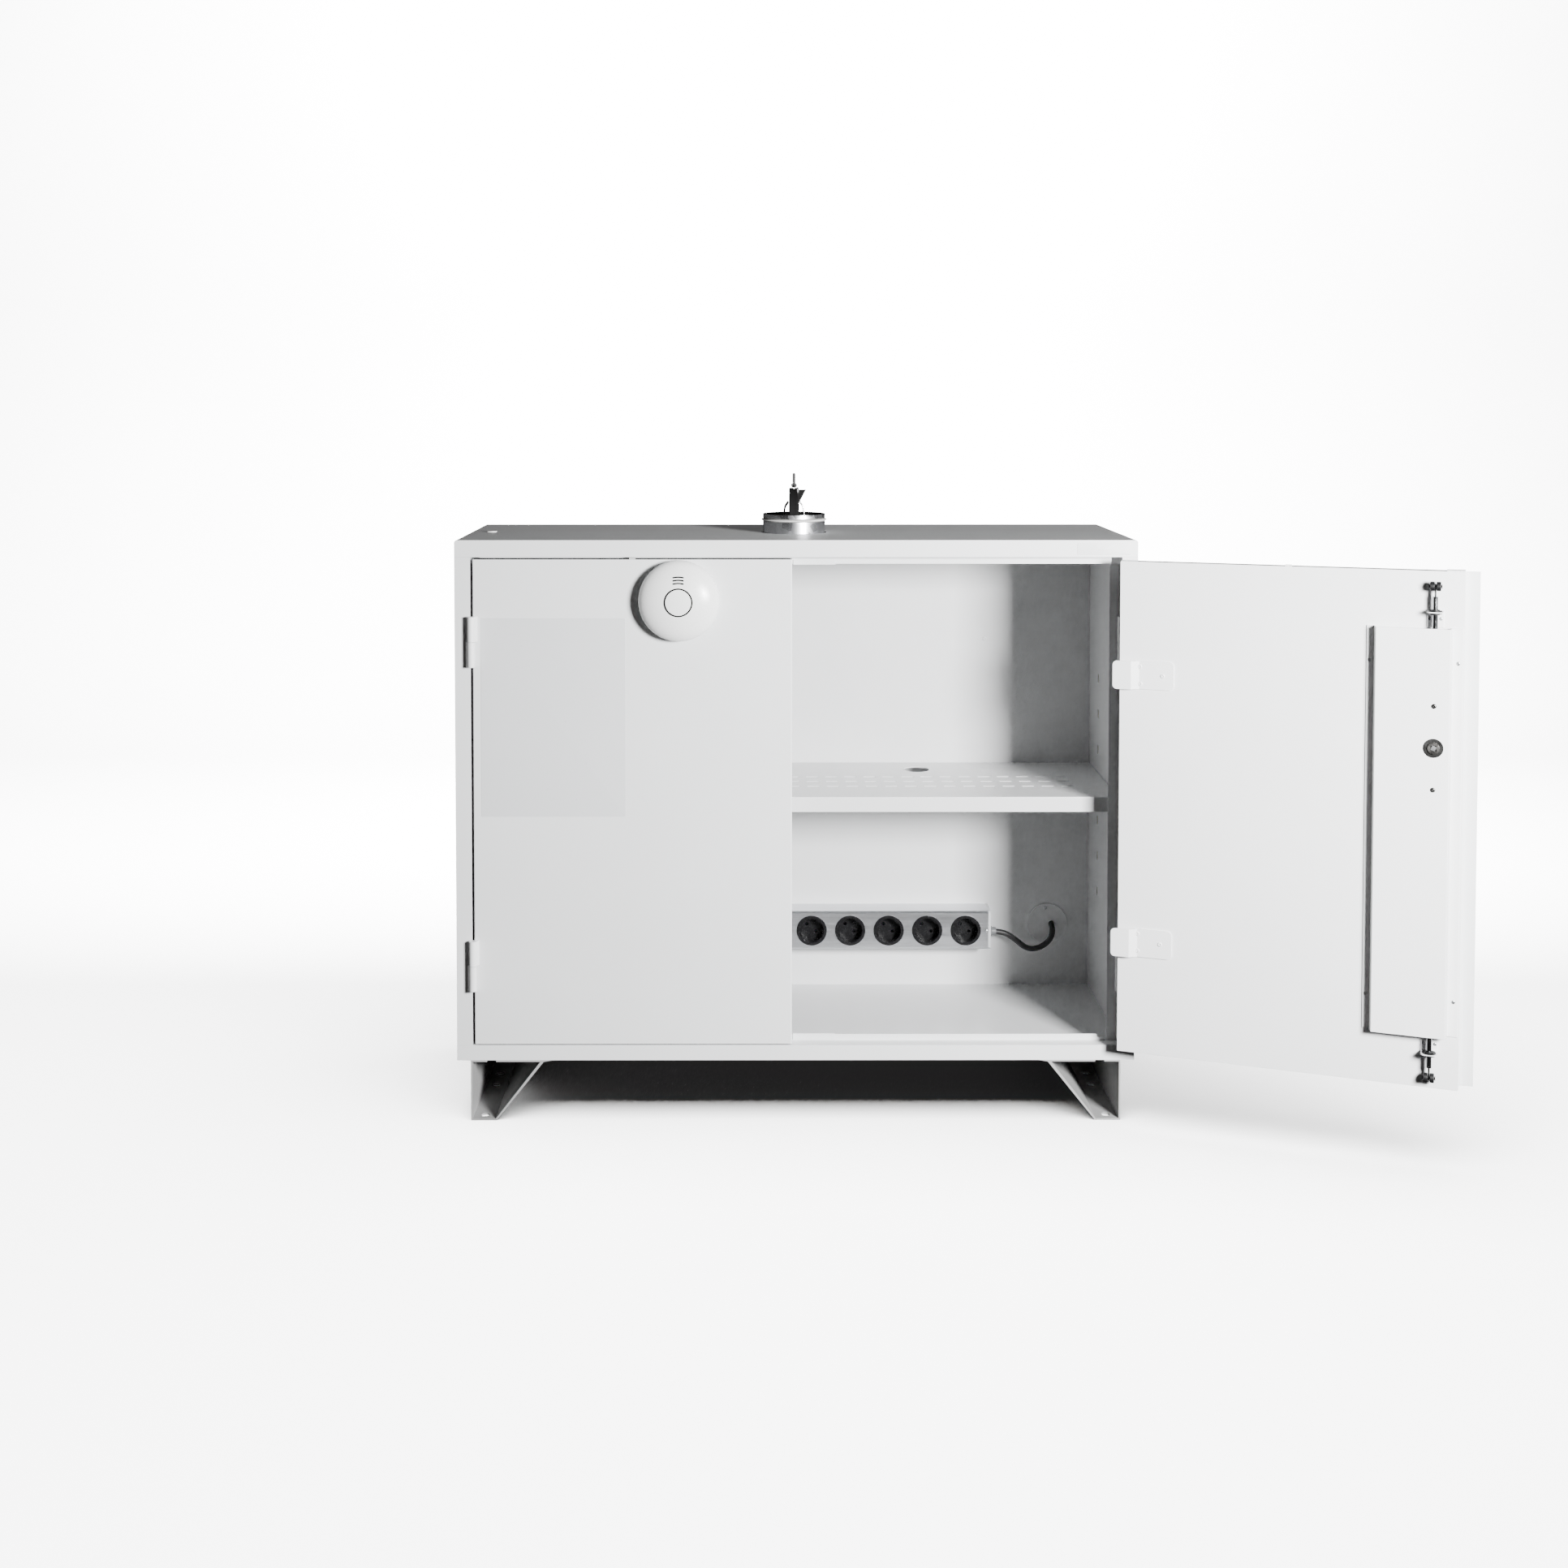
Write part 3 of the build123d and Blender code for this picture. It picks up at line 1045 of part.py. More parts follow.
def alarm_housing():
    """Domed shell with sound slots and a round opening for the test button."""
    h = ALARM_HEIGHT
    t = ALARM_SHELL
    hole = BUTTON_RADIUS + BUTTON_PLAY
    collar = ALARM_COLLAR - h
    outer = dome_section(hole, 0)
    inner = dome_section(hole + t, t)
    straight = Polyline(outer[-1], (ALARM_RADIUS, -ALARM_BASE), (ALARM_RADIUS - t, -ALARM_BASE), inner[-1])
    mouth = Polyline(inner[0], (hole + t, collar), (hole, collar), outer[0])
    section = make_face([Spline(*outer), *straight.edges(), Spline(*inner), *mouth.edges()])
    shell = Pos(ALARM_X, FRONT, ALARM_Z) * revolve(section, Axis.Y)
    for radius in SOUND_SLOTS:
        slot = (radius + SOUND_SLOT_WIDTH, radius)
        arc = alarm_profile([(r, d) for r, d in zip(slot + slot[::-1], (h - 12, h - 12, h + 2, h + 2))])
        window = block(ALARM_X - SOUND_SLOT_HALF, ALARM_X + SOUND_SLOT_HALF, FRONT - h - 3, FRONT,
                       ALARM_Z + hole, ALARM_Z + ALARM_RADIUS)
        shell -= arc & window
    return shell


def alarm_body():
    """Sensing chamber and battery pack behind the shell."""
    chamber = alarm_profile([(0, ALARM_BASE), (40, ALARM_BASE), (40, 18), (0, 18)])
    return chamber


def alarm_button():
    """Test button in the middle of the shell, its face on the shell's curve."""
    step = ALARM_COLLAR - ALARM_HEIGHT + BUTTON_SEAT
    back = step + BUTTON_FLANGE
    flange = BUTTON_RADIUS + BUTTON_PLAY + BUTTON_FLANGE
    crown = dome_section(BUTTON_RADIUS, 0)[0]
    rim = (BUTTON_RADIUS, crown[1])
    cap = ThreePointArc((0, -ALARM_HEIGHT), (BUTTON_RADIUS / 2, (rim[1] - 3 * ALARM_HEIGHT) / 4), rim)
    sides = Polyline(rim, (BUTTON_RADIUS, step), (flange, step), (flange, back), (0, back),
                     (0, -ALARM_HEIGHT))
    section = make_face([cap, *sides.edges()])
    return Pos(ALARM_X, FRONT, ALARM_Z) * revolve(section, Axis.Y)


def build_parts():
    """Every node with its solid or solids."""
    left_skin, left_inner, left_core = door_tray(-DOOR_HINGE_EDGE, -DOOR_FREE_EDGE)
    right_skin, right_inner, right_core = door_tray(DOOR_FREE_EDGE, DOOR_HINGE_EDGE, CAM_HUB_RADIUS + 1)
    stile = frame_stile()
    blade = damper_blade()
    right_foot = foot()
    fixed = {
        "outer_wrap": outer_wrap(),
        "bottom_panel": bottom_panel(),
        "back_panel": back_panel(),
        "liner": liner(),
        "insulation": insulation(),
        "frame_top_rail": frame_top_rail(),
        "frame_bottom_rail": frame_bottom_rail(),
        "frame_stile_left": mirrored(stile),
        "frame_stile_right": stile,
        "frame_hinge_knuckles": frame_knuckles(),
        "strike_plates": strike_plates(),
        "roof_plug": top_plug(),
        "foot_left": mirrored(right_foot),
        "foot_right": right_foot,
        "shelf": shelf(),
        "shelf_clips": shelf_clips(),
        "strip_housing": strip_housing(),
        "strip_sockets": strip_sockets(),
        "strip_end_caps": strip_end_caps(),
        "cable_gland": cable_gland(),
        "supply_cable": supply_cable(),
        "cable_entry": cable_entry(),
        "duct_spigot": duct_spigot(),
        "duct_seal": duct_seal(),
        "damper_frame": damper_frame(),
        "damper_blade_left": mirrored(blade),
        "damper_blade_right": blade + blade_gusset(),
        "damper_springs": damper_springs(),
        "fusible_link": fusible_link(),
        "left_door_skin": left_skin,
        "left_door_inner": left_inner,
        "left_door_core": left_core,
        "left_door_knuckles": door_knuckles(-1),
        "left_door_hooks": door_hooks(-1),
        "left_door_catch": door_catch(-1),
        "alarm_base": alarm_base(),
        "alarm_housing": alarm_housing(),
        "alarm_chamber": alarm_body(),
        "alarm_button": alarm_button(),
    }
    swung = {
        "right_door_skin": right_skin + door_lip() + door_tab(),
        "right_door_inner": right_inner,
        "right_door_core": right_core,
        "right_door_knuckles": door_knuckles(1),
        "right_door_hooks": door_hooks(1),
        "right_door_catch": door_catch(1),
        "lock_cover": lock_cover(),
        "lock_plate": lock_plate(),
        "lock_screws": lock_screws(),
        "lock_washer": lock_washer(),
        "lock_cam": lock_cam(),
        "lock_spindle": lock_spindle(),
        "top_rod": lock_rod(True),
        "bottom_rod": lock_rod(False),
        "top_rollers": lock_rollers(True),
        "bottom_rollers": lock_rollers(False),
        "rod_guides": rod_guides(),
        "guide_bushes": guide_bushes(),
        "handle_rose": handle_rose(),
        "lock_handle": lock_handle(),
        "key_plug": key_plug(),
    }
    parts = dict(fixed)
    for name, shape in swung.items():
        if isinstance(shape, list):
            parts[name] = [swing_open(piece) for piece in shape]
        else:
            parts[name] = swing_open(shape)
    return parts


def write_parts():
    os.makedirs("parts", exist_ok=True)
    for name, shape in build_parts().items():
        whole = Compound(shape) if isinstance(shape, list) else shape
        export_step(whole, f"parts/{name}.step")


write_parts()
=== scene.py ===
import json
import math

import bmesh
import bpy
from mathutils import Matrix, Vector


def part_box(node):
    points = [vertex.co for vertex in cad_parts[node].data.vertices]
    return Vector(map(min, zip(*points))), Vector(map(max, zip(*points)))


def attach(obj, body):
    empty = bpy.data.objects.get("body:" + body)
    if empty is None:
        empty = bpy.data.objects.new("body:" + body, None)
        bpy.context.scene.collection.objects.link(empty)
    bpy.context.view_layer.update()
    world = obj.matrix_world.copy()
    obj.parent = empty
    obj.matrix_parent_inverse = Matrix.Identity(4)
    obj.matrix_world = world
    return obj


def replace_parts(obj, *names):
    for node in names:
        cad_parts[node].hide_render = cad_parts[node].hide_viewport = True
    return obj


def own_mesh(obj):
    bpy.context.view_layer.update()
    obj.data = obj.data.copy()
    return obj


# Looks of a two-door battery charging cabinet around its CAD frame. Metres, floor at z = 0.
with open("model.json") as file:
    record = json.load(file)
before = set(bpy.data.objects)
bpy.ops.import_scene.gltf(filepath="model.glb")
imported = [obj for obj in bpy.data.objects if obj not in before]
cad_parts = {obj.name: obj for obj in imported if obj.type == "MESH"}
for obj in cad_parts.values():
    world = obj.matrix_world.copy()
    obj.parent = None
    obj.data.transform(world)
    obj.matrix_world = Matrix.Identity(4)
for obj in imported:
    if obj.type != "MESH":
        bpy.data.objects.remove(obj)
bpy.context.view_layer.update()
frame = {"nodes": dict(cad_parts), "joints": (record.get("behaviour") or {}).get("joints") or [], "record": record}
MM = 0.001
SHARP_ANGLE = math.radians(32.0)
NOISE_SPAN = (0.3, 0.7)     # most values of a noise texture lie in it
NOISE_ROUGHNESS = 0.55

JOINTS = {joint["name"]: joint for joint in frame["joints"]}
HINGE = Vector(JOINTS["right_door_hinge"]["pos_m"])
DOOR_ANGLE = math.radians(160.0)
SWING = (Matrix.Translation(HINGE) @ Matrix.Rotation(DOOR_ANGLE, 4, "Z")
         @ Matrix.Translation(-HINGE))


# ---- material building blocks ----
class Nodes:
    """Small helper around a material's node tree."""

    def __init__(self, name):
        self.material = bpy.data.materials.new(name)
        self.material.use_nodes = True
        self.tree = self.material.node_tree
        self.shader = self.tree.nodes["Principled BSDF"]
        self.place = self.add("ShaderNodeTexCoord").outputs["Object"]

    def add(self, kind, **values):
        node = self.tree.nodes.new(kind)
        for key, value in values.items():
            setattr(node, key, value)
        return node

    def join(self, output, socket):
        self.tree.links.new(output, socket)

    def stretched(self, scale):
        mapping = self.add("ShaderNodeMapping")
        mapping.inputs["Scale"].default_value = scale
        self.join(self.place, mapping.inputs["Vector"])
        return mapping.outputs["Vector"]

    def noise(self, scale, detail=3.0, stretch=None):
        node = self.add("ShaderNodeTexNoise")
        node.inputs["Scale"].default_value = scale
        node.inputs["Detail"].default_value = detail
        node.inputs["Roughness"].default_value = NOISE_ROUGHNESS
        self.join(self.stretched(stretch) if stretch else self.place, node.inputs["Vector"])
        return node.outputs["Fac"]

    def cells(self, scale):
        node = self.add("ShaderNodeTexVoronoi")
        node.inputs["Scale"].default_value = scale
        self.join(self.place, node.inputs["Vector"])
        return node

    def spread(self, value, low, high, to_low, to_high):
        node = self.add("ShaderNodeMapRange")
        node.inputs["From Min"].default_value = low
        node.inputs["From Max"].default_value = high
        node.inputs["To Min"].default_value = to_low
        node.inputs["To Max"].default_value = to_high
        self.join(value, node.inputs["Value"])
        return node.outputs["Result"]

    def tint(self, value, dark, light):
        node = self.add("ShaderNodeMix", data_type="RGBA")
        node.inputs[6].default_value = (*dark, 1.0)
        node.inputs[7].default_value = (*light, 1.0)
        self.join(value, node.inputs["Factor"])
        return node.outputs[2]

    def relief(self, height, strength, distance, onto=None):
        node = self.add("ShaderNodeBump")
        node.inputs["Strength"].default_value = strength
        node.inputs["Distance"].default_value = distance
        self.join(height, node.inputs["Height"])
        if onto is not None:
            self.join(onto, node.inputs["Normal"])
        return node.outputs["Normal"]

    def set(self, **values):
        for key, value in values.items():
            socket = self.shader.inputs[key.replace("_", " ")]
            if isinstance(value, bpy.types.NodeSocket):
                self.join(value, socket)
            else:
                socket.default_value = value
        return self.material


def shade(color, share):
    return tuple(channel * share for channel in color)


def powder_coat(name, color, rough=0.42, peel=0.22, cloud=0.965, edge=0.0006):
    """Sprayed and baked paint: faint orange peel, cloudy tone, softened edges."""
    n = Nodes(name)
    tone = n.spread(n.noise(5.0, 4.0), *NOISE_SPAN, 0.0, 1.0)
    n.set(Base_Color=n.tint(tone, shade(color, cloud), color))
    n.set(Roughness=n.spread(n.noise(38.0, 4.0), *NOISE_SPAN, rough - 0.04, rough + 0.05))
    soft = n.add("ShaderNodeBevel", samples=3)
    soft.inputs["Radius"].default_value = edge
    peel_normal = n.relief(n.noise(520.0, 2.0), peel, 0.00012, soft.outputs["Normal"])
    return n.set(Normal=peel_normal, Coat_Weight=0.12, Coat_Roughness=0.25)


def moulded(name, color, rough=0.4, grain=900.0, depth=0.15, cloud=0.93, gloss=0.5):
    """Moulded plastic with a fine spark-eroded grain."""
    n = Nodes(name)
    n.set(Specular_IOR_Level=gloss)
    tone = n.spread(n.noise(24.0, 3.0), *NOISE_SPAN, 0.0, 1.0)
    n.set(Base_Color=n.tint(tone, shade(color, cloud), color))
    n.set(Roughness=n.spread(n.noise(grain * 0.2, 3.0), *NOISE_SPAN, rough - 0.05, rough + 0.06))
    soft = n.add("ShaderNodeBevel", samples=3)
    soft.inputs["Radius"].default_value = 0.0004
    return n.set(Normal=n.relief(n.noise(grain, 2.0), depth, 0.0001, soft.outputs["Normal"]))


def plated(name, color, rough=0.32, grain=(40.0, 40.0, 900.0), depth=0.12):
    """Zinc or nickel plating: metallic, with drawn marks and cloudy passivation."""
    n = Nodes(name)
    cloud = n.spread(n.noise(55.0, 5.0), 0.3, 0.72, 0.0, 1.0)
    n.set(Base_Color=n.tint(cloud, shade(color, 0.82), color), Metallic=1.0)
    n.set(Roughness=n.spread(n.noise(90.0, 4.0), *NOISE_SPAN, rough - 0.07, rough + 0.09))
    marks = n.noise(1.0, 2.0, grain)
    return n.set(Normal=n.relief(marks, depth, 0.00006))


def spangled(name, color):
    """Hot-dip galvanised sheet: soft crystals of differing brightness."""
    n = Nodes(name)
    cells = n.cells(95.0)
    flake = n.spread(cells.outputs["Color"], 0.0, 1.0, 0.0, 1.0)
    n.set(Base_Color=n.tint(flake, shade(color, 0.8), color), Metallic=1.0)
    n.set(Roughness=n.spread(cells.outputs["Color"], 0.0, 1.0, 0.2, 0.36))
    marks = n.noise(1.0, 3.0, (25.0, 25.0, 1400.0))
    return n.set(Normal=n.relief(marks, 0.1, 0.00006))


def brushed(name, color):
    """Anodised aluminium brushed along X."""
    n = Nodes(name)
    lines = n.noise(1.0, 4.0, (9.0, 1500.0, 1500.0))
    tone = n.spread(lines, *NOISE_SPAN, 0.0, 1.0)
    n.set(Base_Color=n.tint(tone, shade(color, 0.86), color), Metallic=1.0)
    n.set(Roughness=n.spread(lines, *NOISE_SPAN, 0.3, 0.44), Anisotropic=0.5)
    return n.set(Normal=n.relief(lines, 0.18, 0.00005))


def mineral(name, color):
    """Pressed mineral fibre."""
    n = Nodes(name)
    fibre = n.noise(1.0, 5.0, (160.0, 160.0, 700.0))
    n.set(Base_Color=n.tint(n.spread(fibre, *NOISE_SPAN, 0.0, 1.0), shade(color, 0.7), color), Roughness=0.95)
    return n.set(Normal=n.relief(fibre, 0.6, 0.0006))


def elastic(name, color, rough=0.6):
    """Rubber or cable sheath with a faint bloom."""
    n = Nodes(name)
    bloom = n.spread(n.noise(70.0, 4.0), 0.35, 0.7, 0.0, 1.0)
    n.set(Base_Color=n.tint(bloom, color, tuple(min(1.0, c * 1.12 + 0.005) for c in color)))
    n.set(Roughness=n.spread(n.noise(140.0, 3.0), *NOISE_SPAN, rough - 0.08, rough + 0.08))
    return n.set(Normal=n.relief(n.noise(700.0, 2.0), 0.1, 0.0001))


WHITE = (0.70, 0.71, 0.715)
# a lighter copy of the same white paint, for the door's inside, the lock cover, the guide and the hinges where
# they face the light: painted light
WHITE_WITH_PAINTED_LIGHT = (0.745, 0.75, 0.755)
FINISHES = {
    "white_paint": powder_coat("white_powder_coat", WHITE),
    # the inside walls and the shelf take darker copies of the same white paint, to deepen the shade inside the
    # cabinet: painted shade
    "white_liner": powder_coat("liner_powder_coat", (0.61, 0.615, 0.62), rough=0.34),
    "door_paint": powder_coat("door_powder_coat", WHITE, rough=0.38),
    "door_liner": powder_coat("door_inside_powder_coat", WHITE_WITH_PAINTED_LIGHT),
    "hook_paint": powder_coat("hook_powder_coat", (0.76, 0.765, 0.77), rough=0.35),
    "cover_paint": powder_coat("cover_powder_coat", WHITE_WITH_PAINTED_LIGHT, rough=0.35),
    "guide_paint": powder_coat("guide_powder_coat", WHITE_WITH_PAINTED_LIGHT, rough=0.35),
    "shelf_paint": powder_coat("shelf_powder_coat", (0.64, 0.645, 0.65), rough=0.33),
    "strike_paint": powder_coat("strike_powder_coat", WHITE, rough=0.35),
    # the feet's grey is partly their own paint and partly painted shade, darkened to match the dark inside of each
    # foot
    "foot_paint": powder_coat("foot_powder_coat", (0.3, 0.3, 0.3), rough=0.36),
    "white_hinge": powder_coat("hinge_powder_coat", WHITE_WITH_PAINTED_LIGHT, rough=0.35),
    "mineral_board": mineral("mineral_fibre", (0.62, 0.58, 0.46)),
    "white_plastic": moulded("white_moulding", (0.78, 0.78, 0.77)),
    "zinc_steel": plated("zinc_plating", (0.56, 0.57, 0.58)),
    "zinc_rod": plated("drawn_zinc_rod", (0.3, 0.305, 0.315), rough=0.16, grain=(600.0, 600.0, 20.0)),
    "anodised_aluminium": brushed("brushed_aluminium", (0.66, 0.67, 0.69)),
    "black_plastic": moulded("black_moulding", (0.005, 0.005, 0.0055), rough=0.5, gloss=0.3),
    "cap_plastic": moulded("grey_cap_moulding", (0.5, 0.51, 0.52), rough=0.35),
    "grey_plastic": moulded("dark_grey_moulding", (0.16, 0.165, 0.17), rough=0.42),
    "cable_sheath": elastic("black_sheath", (0.015, 0.015, 0.016), rough=0.42),
    "galvanised_steel": spangled("galvanised_sheet", (0.62, 0.63, 0.65)),
    # the slot keeps the record's name, but the photographed lip is pale
    "black_rubber": elastic("pale_lip_rubber", (0.55, 0.55, 0.54), rough=0.45),
    "blade_black": moulded("black_blade_coat", (0.005, 0.005, 0.005), rough=0.8, grain=300.0, depth=0.5,
                           gloss=0.12),
    "spring_steel": plated("bright_spring_wire", (0.78, 0.78, 0.79), rough=0.18, grain=(300.0, 300.0, 300.0)),
    "alarm_plastic": moulded("alarm_moulding", (0.8, 0.805, 0.8), rough=0.28, depth=0.06, cloud=0.98),
    "alarm_button_plastic": moulded("button_moulding", (0.8, 0.805, 0.8), rough=0.3, depth=0.06, cloud=0.98),
    "roller_plastic": moulded("black_roller", (0.005, 0.005, 0.0055), rough=0.45, depth=0.05, gloss=0.3),
    "handle_black": moulded("black_handle_moulding", (0.014, 0.014, 0.015), rough=0.36, grain=500.0),
    "lock_brass": plated("nickel_plating", (0.66, 0.64, 0.6), rough=0.22),
}
FILM = powder_coat("blank_film", (0.60, 0.61, 0.62), rough=0.3, peel=0.05, edge=0.0002)
STICKER = powder_coat("blank_sticker", (0.66, 0.67, 0.675), rough=0.28, peel=0.05, edge=0.0001)
DARK_ZINC = plated("dark_zinc_plating", (0.1, 0.1, 0.098), rough=0.34)
BARE_STEEL = plated("bare_steel", (0.5, 0.49, 0.47), rough=0.25)
# black for the damper frame and the alarm's chamber, and painted shade in the alarm's slots
BLACK_COAT_AND_SLOT_SHADE = moulded("black_coat_and_slot_shade", (0.005, 0.005, 0.005), rough=0.8, grain=400.0, gloss=0.12)
SOLDER = moulded("solder_grey", (0.03, 0.03, 0.03), rough=0.5, grain=500.0, gloss=0.3)
GROOVE = elastic("grey_groove_rubber", (0.16, 0.16, 0.155), rough=0.5)
SOCKET = moulded("black_socket_moulding", (0.006, 0.006, 0.0065), rough=0.24, grain=700.0, depth=0.06,
                 gloss=0.4)
OWN_FINISH = {"strip_sockets": SOCKET, "alarm_chamber": BLACK_COAT_AND_SLOT_SHADE, "cable_entry": FINISHES["white_liner"],
              "lock_washer": DARK_ZINC, "lock_spindle": BARE_STEEL, "lock_cam": BARE_STEEL,
              "damper_frame": BLACK_COAT_AND_SLOT_SHADE}

for row in frame["record"]["subparts"]:
    mesh = frame["nodes"][row["node"]].data
    mesh.materials.clear()
    mesh.materials.append(OWN_FINISH.get(row["node"], FINISHES[row["material_slot"]]))


# ---- mesh building blocks ----
def piece(name, mesh, body, material):
    """Object made from a bmesh, smooth by angle, on its body."""
    data = bpy.data.meshes.new(name)
    mesh.to_mesh(data)
    mesh.free()
    obj = bpy.data.objects.new(name, data)
    bpy.context.scene.collection.objects.link(obj)
    data.materials.append(material)
    data.shade_smooth()
    data.set_sharp_from_angle(angle=SHARP_ANGLE)
    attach(obj, body)
    return obj


def outwards(mesh):
    bmesh.ops.recalc_face_normals(mesh, faces=mesh.faces)


def skin(mesh, loops, closed=False):
    """Faces from each loop of points to the next, and from the last to the first if closed."""
    pairs = zip(loops, loops[1:] + loops[:1]) if closed else zip(loops, loops[1:])
    for here, there in pairs:
        for j in range(len(here)):
            k = (j + 1) % len(here)
            mesh.faces.new((here[j], there[j], there[k], here[k]))


def capped(mesh, loops):
    """Skin through all loops with a face on the first and the last."""
    skin(mesh, loops)
    mesh.faces.new(loops[0])
    mesh.faces.new(list(reversed(loops[-1])))


def facing(at, direction):
    """Matrix that puts a piece made round +Z at a point in mm, facing a direction."""
    turn = Vector((0.0, 0.0, 1.0)).rotation_difference(Vector(direction)).to_matrix().to_4x4()
    return Matrix.Translation(Vector(at) * MM) @ turn


STAR_POINTS = 6


def lathe(mesh, rings, steps, place):
    """Closed skin round +Z from (radius, height, lobes) rings, in mm; lobes carve a star drive."""
    loops = []
    for radius, height, lobes in rings:
        if radius == 0.0:
            loops.append([mesh.verts.new((0.0, 0.0, height * MM))])
            continue
        loop = []
        for i in range(steps):
            angle = 2.0 * math.pi * i / steps
            r = radius * (1.0 + lobes * math.cos(STAR_POINTS * angle)) * MM
            loop.append(mesh.verts.new((r * math.cos(angle), r * math.sin(angle), height * MM)))
        loops.append(loop)
    for below, above in zip(loops, loops[1:]):
        for i in range(steps):
            j = (i + 1) % steps
            if len(below) == 1:
                mesh.faces.new((below[0], above[j], above[i]))
            elif len(above) == 1:
                mesh.faces.new((below[i], below[j], above[0]))
            else:
                mesh.faces.new((below[i], below[j], above[j], above[i]))
    bmesh.ops.transform(mesh, matrix=place, verts=[vert for loop in loops for vert in loop])


RIVET = [(0.0, 0.0, 0.0), (3.3, 0.0, 0.0), (3.35, 0.25, 0.0), (2.9, 0.8, 0.0), (2.0, 1.15, 0.0),
         (1.45, 1.1, 0.0), (1.3, 0.85, 0.0), (1.2, 0.35, 0.0), (0.9, 0.3, 0.0), (0.75, 0.5, 0.0),
         (0.0, 0.55, 0.0)]
HEAD_STEPS = 36
TORX_SCREW = [(0.0, 0.0, 0.0), (3.6, 0.0, 0.0), (3.75, 0.3, 0.0), (3.5, 1.2, 0.0), (2.6, 1.9, 0.0),
              (1.75, 2.1, 0.0), (1.5, 2.05, 0.14), (1.45, 0.9, 0.14), (0.0, 0.8, 0.0)]


def heads(name, places, direction, rings, body, slot, swing=None, scale=1.0, finish=None):
    """One piece with a rivet or screw head at each place."""
    mesh = bmesh.new()
    for at in places:
        place = facing(at, direction) @ Matrix.Diagonal((scale, scale, scale, 1.0))
        lathe(mesh, rings, HEAD_STEPS, swing @ place if swing else place)
    return piece(name, mesh, body, finish or FINISHES[slot])


def rounded(width, height, radius, steps=6):
    """Outline of a rectangle with round corners, about its middle, in mm."""
    points = []
    for sx, sz, start in ((1, 1, 0), (-1, 1, 90), (-1, -1, 180), (1, -1, 270)):
        for i in range(steps + 1):
            angle = math.radians(start + 90.0 * i / steps)
            points.append((sx * (width / 2 - radius) + radius * math.cos(angle),
                           sz * (height / 2 - radius) + radius * math.sin(angle)))
    return points


ROLLED_EDGE = ((0.0, 0.0), (0.0, 0.6), (0.15, 0.9), (0.5, 1.0))     # inset in mm, share of the thickness


def card(name, x0, x1, z0, z1, y, thick, radius, body, material):
    """Thin film or plate on a face that looks along -Y, its edge rolled over."""
    mesh = bmesh.new()
    cx, cz = (x0 + x1) / 2, (z0 + z1) / 2
    loops = []
    for inset, depth in ROLLED_EDGE:
        outline = rounded(x1 - x0 - 2 * inset, z1 - z0 - 2 * inset, radius)
        loops.append([mesh.verts.new(((cx + px) * MM, (y - depth * thick) * MM, (cz + pz) * MM))
                      for px, pz in outline])
    capped(mesh, loops[::-1])
    return piece(name, mesh, body, material)


# ---- supply cable, from the strip's gland down in a bow and out through the back wall ----
CABLE_ROUTE = [(0.3155, 0.1165, 0.2020),
               (0.3405, 0.1165, 0.2020),
               (0.3615, 0.1175, 0.1890),
               (0.3795, 0.1175, 0.1730),
               (0.4005, 0.1165, 0.1730),
               (0.4210, 0.1175, 0.1880),
               (0.4240, 0.1205, 0.2080),
               (0.4240, 0.1600, 0.2080)]
CABLE_DIAMETER = 0.009


def supply_cable():
    """Round flex along one smooth curve, drawn towards the points of its route."""
    curve = bpy.data.curves.new("supply_cable_sheath", "CURVE")
    curve.dimensions = "3D"
    curve.resolution_u = 24
    curve.bevel_depth = CABLE_DIAMETER / 2
    curve.bevel_resolution = 6
    curve.use_fill_caps = True
    spline = curve.splines.new("NURBS")
    spline.points.add(len(CABLE_ROUTE) - 1)
    for point, at in zip(spline.points, CABLE_ROUTE):
        point.co = (*at, 1.0)
    spline.order_u = 3
    spline.use_endpoint_u = True
    cable = bpy.data.objects.new("supply_cable_sheath", curve)
    bpy.context.scene.collection.objects.link(cable)
    curve.materials.append(FINISHES["cable_sheath"])
    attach(cable, "cabinet")
    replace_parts(cable, "supply_cable")


supply_cable()


# ---- rivets, screws and blank films ----
DOOR_FACE = -160.0
DOOR_INSIDE = -142.0
HOOK_FACE = -140.0
COVER_FLANGE = -140.5
GUIDE_FACE = -140.5
LINER_BACK = 140.0
STRIP_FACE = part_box("strip_housing")[0].y / MM
ENTRY_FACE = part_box("cable_entry")[0].y / MM
FILM_THICK = 0.2
INWARDS = (0.0, 1.0, 0.0)
OUTWARDS = (0.0, -1.0, 0.0)
HOOK_SPOTS = [(444.4, HOOK_FACE, 680.3), (412.1, HOOK_FACE, 668.0), (443.8, HOOK_FACE, 655.3),
              (445.0, HOOK_FACE, 290.6), (412.8, HOOK_FACE, 277.8), (444.8, HOOK_FACE, 265.6)]
heads("right_hook_rivets", HOOK_SPOTS, INWARDS, RIVET, "right_door", "hook_paint", SWING)
heads("left_hook_rivets", [(-x, y, z) for x, y, z in HOOK_SPOTS], INWARDS, RIVET,
      "left_door", "hook_paint")
heads("cover_rivets", [(129.2, COVER_FLANGE, 706.0), (14.1, COVER_FLANGE, 706.0),
                       (129.2, COVER_FLANGE, 238.0), (14.3, COVER_FLANGE, 238.0)],
      INWARDS, RIVET, "right_door", "zinc_steel", SWING, scale=0.8)
heads("guide_rivets", [(52.0, GUIDE_FACE, 766.5), (37.0, GUIDE_FACE, 766.5),
                       (52.0, GUIDE_FACE, 176.7), (37.0, GUIDE_FACE, 176.7)],
      INWARDS, RIVET, "right_door", "zinc_steel", SWING, scale=0.7)
